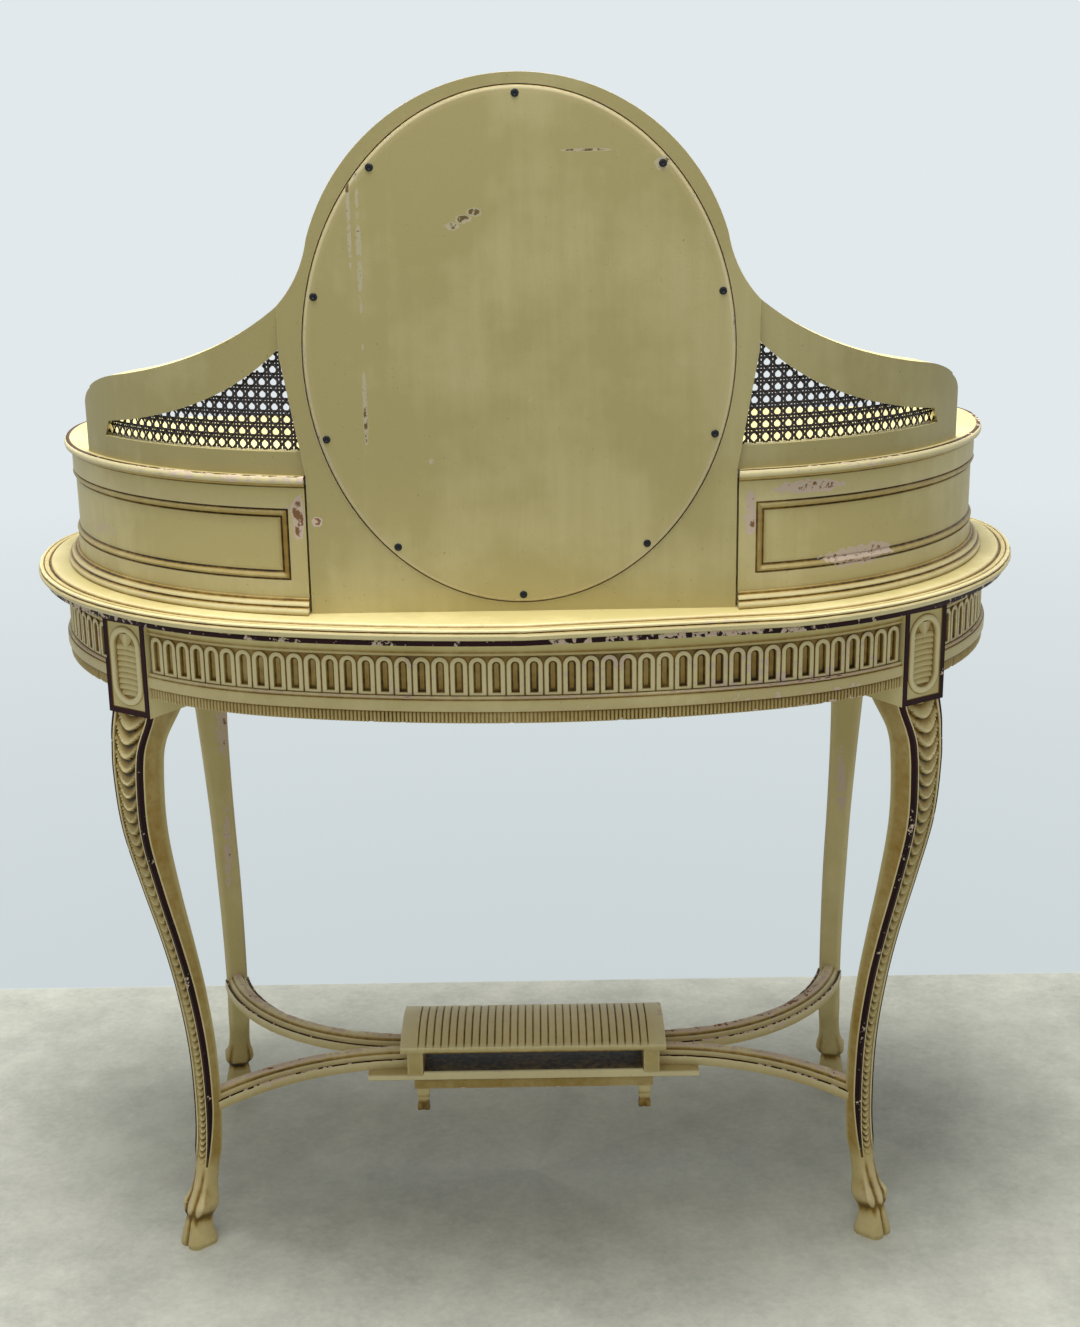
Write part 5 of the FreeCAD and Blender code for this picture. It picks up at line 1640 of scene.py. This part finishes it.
def top_profile():
    """Coved and rounded edge of the cabinet top, in the same columns as the bottom's profile."""
    low, top = CABINET_CEILING, CABINET_TOP
    return (
        (44.0, low, 0.9, 0.0, CREAM),
        (42.8, low + 0.8, 0.9, 0.0, CREAM),
        (42.2, low + 2.2, 0.2, 0.2, CREAM),
        (40.6, low + 3.2, 0.1, 0.4, CREAM),
        (39.6, low + 3.4, 0.9, 0.0, CREAM),
        (38.6, low + 4.2, 0.2, 0.5, CREAM),
        (38.0, low + 6.0, 0.0, 0.9, CREAM),
        (38.0, top - 3.4, 0.0, 0.8, CREAM),
        (38.6, top - 1.4, 0.0, 0.9, CREAM),
        (39.6, top - 0.3, 0.0, 0.7, LINING),
        (43.6, top, 0.2, 0.5, CREAM),
        (47.6, top, 0.1, 0.2, CREAM),
        (60.0, top, 0.0, 0.0, CREAM),
    )


def carve_mirror_bead():
    """Double bead round the mirror's oval glass."""
    # Distance outwards, distance forwards, soiling and painted shade, and rubbing and painted highlight.
    section = (
        (-6.0, 0.2, 0.6, 0.0),
        (-6.0, 3.0, 0.3, 0.4),
        (-3.6, 5.4, 0.0, 0.8),
        (-1.6, 4.4, 0.9, 0.0),
        (0.6, 6.4, 0.2, 0.3),
        (3.4, 9.4, 0.0, 0.8),
        (6.2, 9.6, 0.0, 0.8),
        (8.6, 7.0, 0.2, 0.3),
        (9.8, 4.2, 0.9, 0.0),
        (11.6, 3.4, 0.0, 0.6),
        (12.0, 0.2, 0.6, 0.0),
    )
    carving = Carving(*paints())
    lines = []
    count = 200
    for number in range(count):
        turn = 2 * math.pi * number / count
        c, s = math.cos(turn), math.sin(turn)
        normal = Vector((s / GLASS_HALF_WIDTH, 0, c / GLASS_HALF_HEIGHT)).normalized()
        rim = Vector((GLASS_HALF_WIDTH * s, BOARD_FRONT, OVAL_HEIGHT + GLASS_HALF_HEIGHT * c))
        ring = []
        for out, ahead, grime_and_shade, rub_and_highlight in section:
            ring.append((rim + normal * out + Vector((0, -ahead, 0)), grime_and_shade, rub_and_highlight))
        lines.append(ring)
    carving.skin(lines, round_about=True, loop=True)
    carving.piece("mirror_bead")


def carve_back_panel():
    """Oval back panel that stands a little proud of the board, with a dirty joint round it."""
    low, high = (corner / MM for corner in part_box("mirror_back_panel"))
    half = (high - low) / 2
    # Distance inside the outline, depth, soiling and painted shade, and rubbing and painted highlight.
    rings = (
        (1.0, low.y + 0.2, 0.8, 0.0),
        (1.0, high.y - 0.2, 0.85, 0.0),
        (1.3, high.y + 0.9, 0.3, 0.8),
        (2.6, high.y + 1.5, 0.0, 0.9),
        (5.0, high.y + 1.6, 0.1, 0.3),
        (9.0, high.y + 1.6, 0.0, 0.0),
        (80.0, high.y + 1.6, 0.0, 0.0),
    )
    carving = Carving(finish_of("cream_oil_paint_back_panel"))
    lines = []
    count = 180
    for shrink, depth, grime_and_shade, rub_and_highlight in rings:
        ring = []
        for number in range(count):
            turn = 2 * math.pi * number / count
            x = (half.x - shrink) * math.sin(turn)
            z = OVAL_HEIGHT + (half.z - shrink) * math.cos(turn)
            ring.append((Vector((x, depth, z)), grime_and_shade, rub_and_highlight))
        lines.append(ring)
    carving.bar(lines)
    carving.piece("mirror_back_panel")


def carve_screws():
    """Ten round heads that hold the oval panel, dimpled in the middle."""
    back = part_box("mirror_back_panel")[1].y / MM
    turns = [0, 1] + [sign * share for share in SCREW_TURNS for sign in (-1, 1)]
    # Radius of the head and its height over the panel, from its foot in to the dimple.
    head = ((3.6, 0.5), (3.6, 1.9), (3.1, 2.5), (1.7, 2.8), (1.1, 2.2), (0.5, 2.1))
    count = 20
    carving = Carving(finish_of("blackened_steel_screws"))
    for turn in turns:
        x = SCREW_OVAL[0] * math.sin(math.pi * turn)
        z = OVAL_HEIGHT + SCREW_OVAL[1] * math.cos(math.pi * turn)
        lines = []
        for radius, out in head:
            ring = []
            for step in range(count):
                around = 2 * math.pi * step / count
                place = Vector((x + radius * math.cos(around), back + out, z + radius * math.sin(around)))
                ring.append((place, 0.0, 0.0))
            lines.append(ring)
        carving.bar(lines)
    carving.piece("mirror_screws", slot="blackened_screws")


def wing_end_trim(side):
    """Trimmer that presses the top corner at a wing's outer end to a curve longer than it is tall."""
    # Length and height of the new curve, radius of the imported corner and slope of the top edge. What
    # lies under the base stays.
    run, rise, corner, slope = 78, 27, 18, 0.12
    base = CABINET_TOP + 40
    cuts = (1, 3, 7, 13, 21, 31, 43, 56, 68, run)
    along = heading(WING_END_ANGLE + 90)
    tip = edge_point(WING_END_ANGLE, WING_INSET + WING_THICKNESS / 2, CABINET_TOP + WING_END_HEIGHT)
    if side == "left":
        along.x, tip.x = -along.x, -tip.x

    def trim(bm):
        for back in cuts:
            geometry = bm.verts[:] + bm.edges[:] + bm.faces[:]
            station = (tip - along * back) * MM
            bmesh.ops.bisect_plane(bm, geom=geometry, plane_co=station, plane_no=along)
        for vert in bm.verts:
            back = max((tip - vert.co / MM).dot(along), 0)
            height = vert.co.z / MM
            if back < run and height > base:
                square = tip.z - corner + math.sqrt(corner**2 - max(corner - back, 0) ** 2)
                curve = tip.z - rise + rise * math.sqrt(1 - (1 - back / run) ** 2)
                share = (curve + slope * back - base) / (square + slope * back - base)
                vert.co.z = (base + (height - base) * share) * MM

    return trim


def wing_outline():
    """Opening of the right wing that the cane fills, as points (x, height)."""
    end = edge_point(WING_END_ANGLE, WING_INSET)
    joint = Vector((JOINT_HALF, CABINET_TOP + WING_JOINT_HEIGHT - WING_BORDER))
    stop = Vector((end.x + WING_END_SPARE - WING_BORDER, CABINET_TOP + WING_END_HEIGHT - WING_BORDER))
    # Poles of the curve as shares of the way from the joint to the outer end.
    poles = [(0.0, 0.0), (0.21, 0.48), (0.50, 0.80), (1.0, 1.0)]
    count = 40
    points = []
    for number in range(count + 1):
        t = number / count
        weights = ((1 - t) ** 3, 3 * t * (1 - t) ** 2, 3 * t * t * (1 - t), t**3)
        x = sum(w * (joint.x + (stop.x - joint.x) * a) for w, (a, _) in zip(weights, poles))
        z = sum(w * (joint.y + (stop.y - joint.y) * b) for w, (_, b) in zip(weights, poles))
        points.append((x, z))
    points.append((stop.x + (stop.y - WING_RAIL) * 0.35, WING_RAIL))
    foot = BOARD_HALF + (JOINT_HALF - BOARD_HALF) * (WING_RAIL - CABINET_TOP) / JOINT_HEIGHT
    return points + [(foot, WING_RAIL), (JOINT_HALF, CABINET_TOP + JOINT_HEIGHT)]


def in_outline(points, x, z):
    """Whether a point lies inside a polygon."""
    found = False
    for (ax, az), (bx, bz) in zip(points, points[1:] + points[:1]):
        if (az > z) != (bz > z) and x < ax + (bx - ax) * (z - az) / (bz - az):
            found = not found
    return found


def weave_cane(side):
    """Six-way cane: paired uprights and levels with diagonals that leave octagonal gaps."""
    sizes = bpy.context.scene.dressing_carving
    pitch = sizes.cane_pitch / MM
    strand = sizes.cane_strand / MM
    inset = WING_INSET + WING_THICKNESS / 2
    opening = wing_outline()
    span, angle_at = edge_ruler(10, WING_END_ANGLE, inset, step=0.5)
    low, high = WING_RAIL - 3, max(z for _, z in opening) + 3
    carving = Carving(finish_of("split_rattan_cane"))

    def at(run, height, level):
        return edge_point(angle_at(run), inset - level, height)

    # Start, direction, length and level of each strand.
    lanes = []
    pair = (-1.6, 1.6)
    columns = int(span / pitch) + 2
    rows = int((high - low) / pitch) + 2
    for number in range(-1, columns):
        lanes += [((number * pitch + shift, low), (0, 1), high - low, 0.5) for shift in pair]
    for number in range(1, rows + 1):
        lanes += [((0, WING_RAIL + number * pitch + shift), (1, 0), span, -0.5) for shift in pair]
    slant = math.sqrt(0.5)
    for number in range(-rows - 1, columns + rows + 2):
        start = ((number + 0.5) * pitch, WING_RAIL)
        lanes.append((start, (slant, slant), (high - low) / slant, 0.9))
        lanes.append((start, (-slant, slant), (high - low) / slant, -0.9))
    step = pitch / 6
    half = strand / 2
    section = ((-half, -0.25), (-half * 0.5, 0.2), (half * 0.5, 0.2), (half, -0.25), (0, -0.35))
    for (run, height), (du, dv), reach, level in lanes:
        strip = []
        last = int(reach / step)
        for number in range(last + 1):
            u, v = run + du * step * number, height + dv * step * number
            spot = at(u, v, 0)
            kept = 0 <= u <= span and in_outline(opening, spot.x, spot.z)
            if kept:
                wave = level + 0.3 * math.cos(2 * math.pi * (du * u + dv * v) / pitch)
                strip.append([(at(u - dv * a, v + du * a, wave + b), 0.0, 0.0) for a, b in section])
            if strip and (not kept or number == last):
                if len(strip) > 1:
                    carving.bar(strip)
                strip = []
    carving.on_side(side).piece(f"{side}_cane_panel", slot="woven_cane", crease=60)


class DressingOperator(bpy.types.Operator):
    """Shared settings of the operators that dress one group of pieces."""

    bl_options = {"REGISTER", "UNDO"}


class DRESSING_OT_table_top(DressingOperator):
    """Carve the oval table top"""

    bl_idname = "dressing.table_top"
    bl_label = "Table top"

    def execute(self, context):
        carve_table_top()
        return {"FINISHED"}


class DRESSING_OT_aprons(DressingOperator):
    """Carve the fluted aprons and the rail under the frieze drawer"""

    bl_idname = "dressing.aprons"
    bl_label = "Aprons"

    def execute(self, context):
        back, front = LEG_STANCES["back"][0], LEG_STANCES["front"][0]
        carve_apron("back_apron", BLOCK_SPAN - back, back - BLOCK_SPAN)
        for side in SIDES:
            carve_apron(f"{side}_end_apron", back + BLOCK_SPAN, front - BLOCK_SPAN, side)
        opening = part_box("front_drawer_rail")[1].x / MM
        edge = 180 - math.degrees(math.asin(opening / (FRONT_RADIUS - APRON_INSET)))
        for side in SIDES:
            carve_apron(f"front_apron_{side}", front + BLOCK_SPAN_INNER, edge, side)
        carve_apron("front_drawer_rail", edge, 360 - edge, fluted=False)
        soften("frieze_drawer_runners", finish_of("cream_oil_paint"), 0.5)
        return {"FINISHED"}


class DRESSING_OT_legs(DressingOperator):
    """Carve the four cabriole legs with their blocks and hooves"""

    bl_idname = "dressing.legs"
    bl_label = "Legs"

    def execute(self, context):
        for place in LEG_STANCES:
            for side in SIDES:
                carve_leg(place, side)
        return {"FINISHED"}


class DRESSING_OT_stretchers(DressingOperator):
    """Carve the four moulded stretcher arms"""

    bl_idname = "dressing.stretchers"
    bl_label = "Stretchers"

    def execute(self, context):
        for place in LEG_STANCES:
            for side in SIDES:
                carve_stretcher(place, side)
        return {"FINISHED"}


class DRESSING_OT_footrest(DressingOperator):
    """Carve the ribbed footrest with its blocks, plate, rail and little feet"""

    bl_idname = "dressing.footrest"
    bl_label = "Footrest"

    def execute(self, context):
        carve_footrest_top()
        carve_footrest_plate()
        carve_footrest_feet()
        paint = finish_of("cream_oil_paint")
        # Painted shade all over the footrest's end blocks and, darker, the rail under its plate.
        soften("footrest_end_blocks", paint, 0.8, glaze_and_shade=0.3)
        soften("footrest_rail", paint, 0.8, glaze_and_shade=0.5)
        return {"FINISHED"}


class DRESSING_OT_cabinets(DressingOperator):
    """Mould the two side cabinets"""

    bl_idname = "dressing.cabinets"
    bl_label = "Side cabinets"

    def execute(self, context):
        front = CABINET_FRONT - CABINET_FRONT_OVERHANG
        paint = finish_of("cream_oil_paint")
        for side in SIDES:
            carve_cabinet_slab("bottom", bottom_profile(), front, side)
            carve_cabinet_slab("top", top_profile(), front, side)
            carve_cabinet_wall(side)
            soften(f"{side}_cabinet_partition", paint, 0.8)
            soften(f"{side}_cabinet_drawer_guide", paint, 0.6)
        return {"FINISHED"}


class DRESSING_OT_mirror(DressingOperator):
    """Finish the mirror board, its back panel, screws, glass and bead"""

    bl_idname = "dressing.mirror"
    bl_label = "Mirror"

    def execute(self, context):
        arris = context.scene.dressing_carving.arris / MM
        soften("mirror_board", finish_of("cream_oil_paint_painted_shade"), arris, wear=5.0)
        carve_back_panel()
        carve_mirror_bead()
        keep("mirror_glass", "silvered_mirror_glass")
        carve_screws()
        return {"FINISHED"}


class DRESSING_OT_wings(DressingOperator):
    """Finish the wing frames and weave their cane"""

    bl_idname = "dressing.wings"
    bl_label = "Wings"

    def execute(self, context):
        arris = context.scene.dressing_carving.arris / MM
        paint = finish_of("cream_oil_paint_painted_shade")
        for side in SIDES:
            soften(f"{side}_wing_frame", paint, arris, wear=4.0, trim=wing_end_trim(side))
            weave_cane(side)
        return {"FINISHED"}


class DRESSING_OT_drawers(DressingOperator):
    """Finish the three drawers and their knobs"""

    bl_idname = "dressing.drawers"
    bl_label = "Drawers"

    def execute(self, context):
        wood = finish_of("sawn_beech_drawer_linings")
        carve_frieze_drawer_front()
        for side in SIDES:
            carve_cabinet_drawer_front(side)
        for body, sides in (
            ("frieze_drawer", ("left_side", "right_side")),
            ("left_drawer", ("inner_side", "outer_side")),
            ("right_drawer", ("inner_side", "outer_side")),
        ):
            for part in (*sides, "back", "bottom"):
                soften(f"{body}_{part}", wood, 0.6, 1.2, body)
            keep(f"{body}_knobs" if body == "frieze_drawer" else f"{body}_knob", "lacquered_brass")
        return {"FINISHED"}


class DRESSING_OT_stage(DressingOperator):
    """Set up the floor, the backdrop, the soft light and the camera"""

    bl_idname = "dressing.stage"
    bl_label = "Stage"

    def execute(self, context):
        scene = context.scene
        settings = scene.dressing_stage
        lay_floor(settings)
        light_room(scene, settings)
        set_camera(scene)
        scene.view_settings.view_transform = "Standard"
        return {"FINISHED"}


def lay_floor(settings):
    """Wide floor: mottled concrete round the table that gives way to the plain backdrop."""
    # Half of the floor's side in metres.
    reach = 9
    mesh = bpy.data.meshes.new("floor")
    corners = [(-reach, -reach, 0), (reach, -reach, 0), (reach, reach, 0), (-reach, reach, 0)]
    mesh.from_pydata(corners, [], [(0, 1, 2, 3)])
    floor = bpy.data.objects.new("floor", mesh)
    bpy.context.scene.collection.objects.link(floor)
    mesh.materials.append(concrete_floor(settings))


def concrete_floor(settings):
    """Polished concrete, clouded, stained and gritty, up to the backdrop's sweep of plain paper.

    The backdrop glows in its own colour for the eye and in reflections, darker towards its foot as painted
    shade, and takes light like a floor.
    """
    # Where the concrete starts to fade and where the backdrop has its full colour, in metres.
    fade_start, fade_end, full_colour = 1.4, 3.0, 4.5
    # Half the width of the line between floor and backdrop.
    edge_half = 2 * MM
    material, tree, output = new_material("polished_concrete_floor")
    place = add_node(tree, "ShaderNodeTexCoord", output="Object")
    cloud, stain, grit = (
        add_node(
            tree, "ShaderNodeTexNoise",
            {"Vector": place, "Scale": 1 / (size * MM), "Detail": 9, "Roughness": 0.7}, "Fac",
        )
        for size in (320, 60, 9)
    )
    mottle = add_node(tree, "ShaderNodeMath", {0: stain, 1: 0.5, 2: cloud}, 0, operation="MULTIPLY_ADD")
    mottle = add_node(tree, "ShaderNodeMath", {0: grit, 1: 0.4, 2: mottle}, 0, operation="MULTIPLY_ADD")
    tone = add_node(
        tree, "ShaderNodeMapRange", {"Value": mottle, "From Min": 0.77, "From Max": 1.13}, "Result"
    )
    dark, pale = shaded(settings.floor, 0.78), shaded(settings.floor, 1.2)
    concrete = add_node(
        tree, "ShaderNodeMix", {"Factor": tone, COLOUR_A: dark, COLOUR_B: pale}, COLOUR_OUT,
        data_type="RGBA",
    )
    depth = add_node(tree, "ShaderNodeSeparateXYZ", {"Vector": place}, "Y")
    edge = -settings.backdrop_distance
    behind = add_node(
        tree, "ShaderNodeMapRange",
        {"Value": depth, "From Min": edge + edge_half, "From Max": edge - edge_half}, "Result",
    )
    away = add_node(tree, "ShaderNodeVectorMath", {0: place}, "Value", operation="LENGTH")
    far = add_node(
        tree, "ShaderNodeMapRange", {"Value": away, "From Min": fade_start, "From Max": fade_end}, "Result"
    )
    plain = add_node(tree, "ShaderNodeMath", {0: behind, 1: far}, 0, operation="MAXIMUM")
    # The backdrop's colour darkens towards its foot: painted shade where it meets the floor.
    rise = add_node(
        tree, "ShaderNodeMapRange", {"Value": away, "From Min": -edge, "From Max": full_colour}, "Result"
    )
    sweep = add_node(
        tree, "ShaderNodeMix",
        {"Factor": rise, COLOUR_A: settings.backdrop_foot_shade, COLOUR_B: settings.backdrop}, COLOUR_OUT,
        data_type="RGBA",
    )
    tint = add_node(
        tree, "ShaderNodeMix", {"Factor": plain, COLOUR_A: concrete, COLOUR_B: sweep}, COLOUR_OUT,
        data_type="RGBA",
    )
    lit = add_node(tree, "ShaderNodeBsdfPrincipled", {"Base Color": tint, "Roughness": 0.6}, "BSDF")
    flat = add_node(tree, "ShaderNodeEmission", {"Color": sweep, "Strength": 1.0}, "Emission")
    shown = add_node(tree, "ShaderNodeMath", {0: plain, 1: shown_ray(tree)}, 0, operation="MULTIPLY")
    mixed = add_node(tree, "ShaderNodeMixShader", {0: shown, 1: lit, 2: flat}, 0)
    tree.links.new(mixed, output.inputs["Surface"])
    return material


def shown_ray(tree):
    """1 for rays that show the surroundings as such: camera, reflection and transmission rays."""
    path = add_node(tree, "ShaderNodeLightPath").outputs
    seen = add_node(
        tree, "ShaderNodeMath", {0: path["Is Camera Ray"], 1: path["Is Glossy Ray"]}, 0,
        operation="MAXIMUM",
    )
    return add_node(
        tree, "ShaderNodeMath", {0: seen, 1: path["Is Transmission Ray"]}, 0, operation="MAXIMUM"
    )


def light_room(scene, settings):
    """Large soft lights overhead and an even room light."""
    target = Vector((0, 0, 0.6))
    # Place and size in metres, and share of the key light's power.
    for name, place, size, share in (
        ("overhead", (0.1, 0.15, 2.8), 1.4, 0.95),
        ("overhead_back", (0.3, 2.0, 2.8), 1.6, 0.07),
    ):
        lamp = bpy.data.lights.new(name, "AREA")
        lamp.shape = "SQUARE"
        lamp.size = size
        lamp.energy = settings.key * share
        light = bpy.data.objects.new(name, lamp)
        light.location = place
        light.rotation_euler = (target - Vector(place)).to_track_quat("-Z", "Y").to_euler()
        scene.collection.objects.link(light)
    world = bpy.data.worlds.new("room")
    scene.world = world
    world.use_nodes = True
    tree = world.node_tree
    tree.nodes.clear()
    room = add_node(
        tree, "ShaderNodeBackground", {"Color": settings.room, "Strength": settings.fill}, "Background"
    )
    view = add_node(
        tree, "ShaderNodeBackground", {"Color": settings.backdrop, "Strength": 1.0}, "Background"
    )
    mixed = add_node(tree, "ShaderNodeMixShader", {0: shown_ray(tree), 1: room, 2: view}, 0)
    output = tree.nodes.new("ShaderNodeOutputWorld")
    tree.links.new(mixed, output.inputs["Surface"])


def set_camera(scene):
    """Camera at the photograph's place, for a frame of 1080 by 1327 pixels."""
    data = bpy.data.cameras.new("camera")
    data.sensor_width = CAMERA_SENSOR
    data.lens = CAMERA_LENS
    camera = bpy.data.objects.new("camera", data)
    turn = Matrix.Rotation(math.radians(CAMERA_TURN), 4, "Z")
    tilt = Matrix.Rotation(math.radians(CAMERA_TILT), 4, "X")
    roll = Matrix.Rotation(math.radians(CAMERA_ROLL), 4, "Z")
    camera.matrix_world = Matrix.Translation(CAMERA_PLACE) @ turn @ tilt @ roll
    scene.collection.objects.link(camera)
    scene.camera = camera


OPERATORS = (
    DRESSING_OT_table_top,
    DRESSING_OT_aprons,
    DRESSING_OT_legs,
    DRESSING_OT_stretchers,
    DRESSING_OT_footrest,
    DRESSING_OT_cabinets,
    DRESSING_OT_mirror,
    DRESSING_OT_wings,
    DRESSING_OT_drawers,
    DRESSING_OT_stage,
)


class DRESSING_PT_panel(bpy.types.Panel):
    """Lists the settings and the pieces of the dressing table"""

    bl_label = "Dressing table"
    bl_space_type = "VIEW_3D"
    bl_region_type = "UI"
    bl_category = "Dressing table"

    def draw(self, context):
        for group in ("dressing_paint", "dressing_carving", "dressing_stage"):
            settings = getattr(context.scene, group)
            for name in settings.__annotations__:
                self.layout.prop(settings, name)
        for operator in OPERATORS:
            self.layout.operator(operator.bl_idname)


GROUPS = {
    "dressing_paint": DressingPaint,
    "dressing_carving": DressingCarving,
    "dressing_stage": DressingStage,
}
CLASSES = (*GROUPS.values(), *OPERATORS, DRESSING_PT_panel)


def register():
    """Register the settings, operators and panel."""
    for item in CLASSES:
        bpy.utils.register_class(item)
    for name, group in GROUPS.items():
        setattr(bpy.types.Scene, name, bpy.props.PointerProperty(type=group))


def unregister():
    """Take the settings, operators and panel out again."""
    for name in GROUPS:
        delattr(bpy.types.Scene, name)
    for item in reversed(CLASSES):
        bpy.utils.unregister_class(item)


def main():
    """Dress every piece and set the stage."""
    register()
    for operator in OPERATORS:
        group, name = operator.bl_idname.split(".")
        getattr(getattr(bpy.ops, group), name)()


if __name__ == "__main__":
    main()
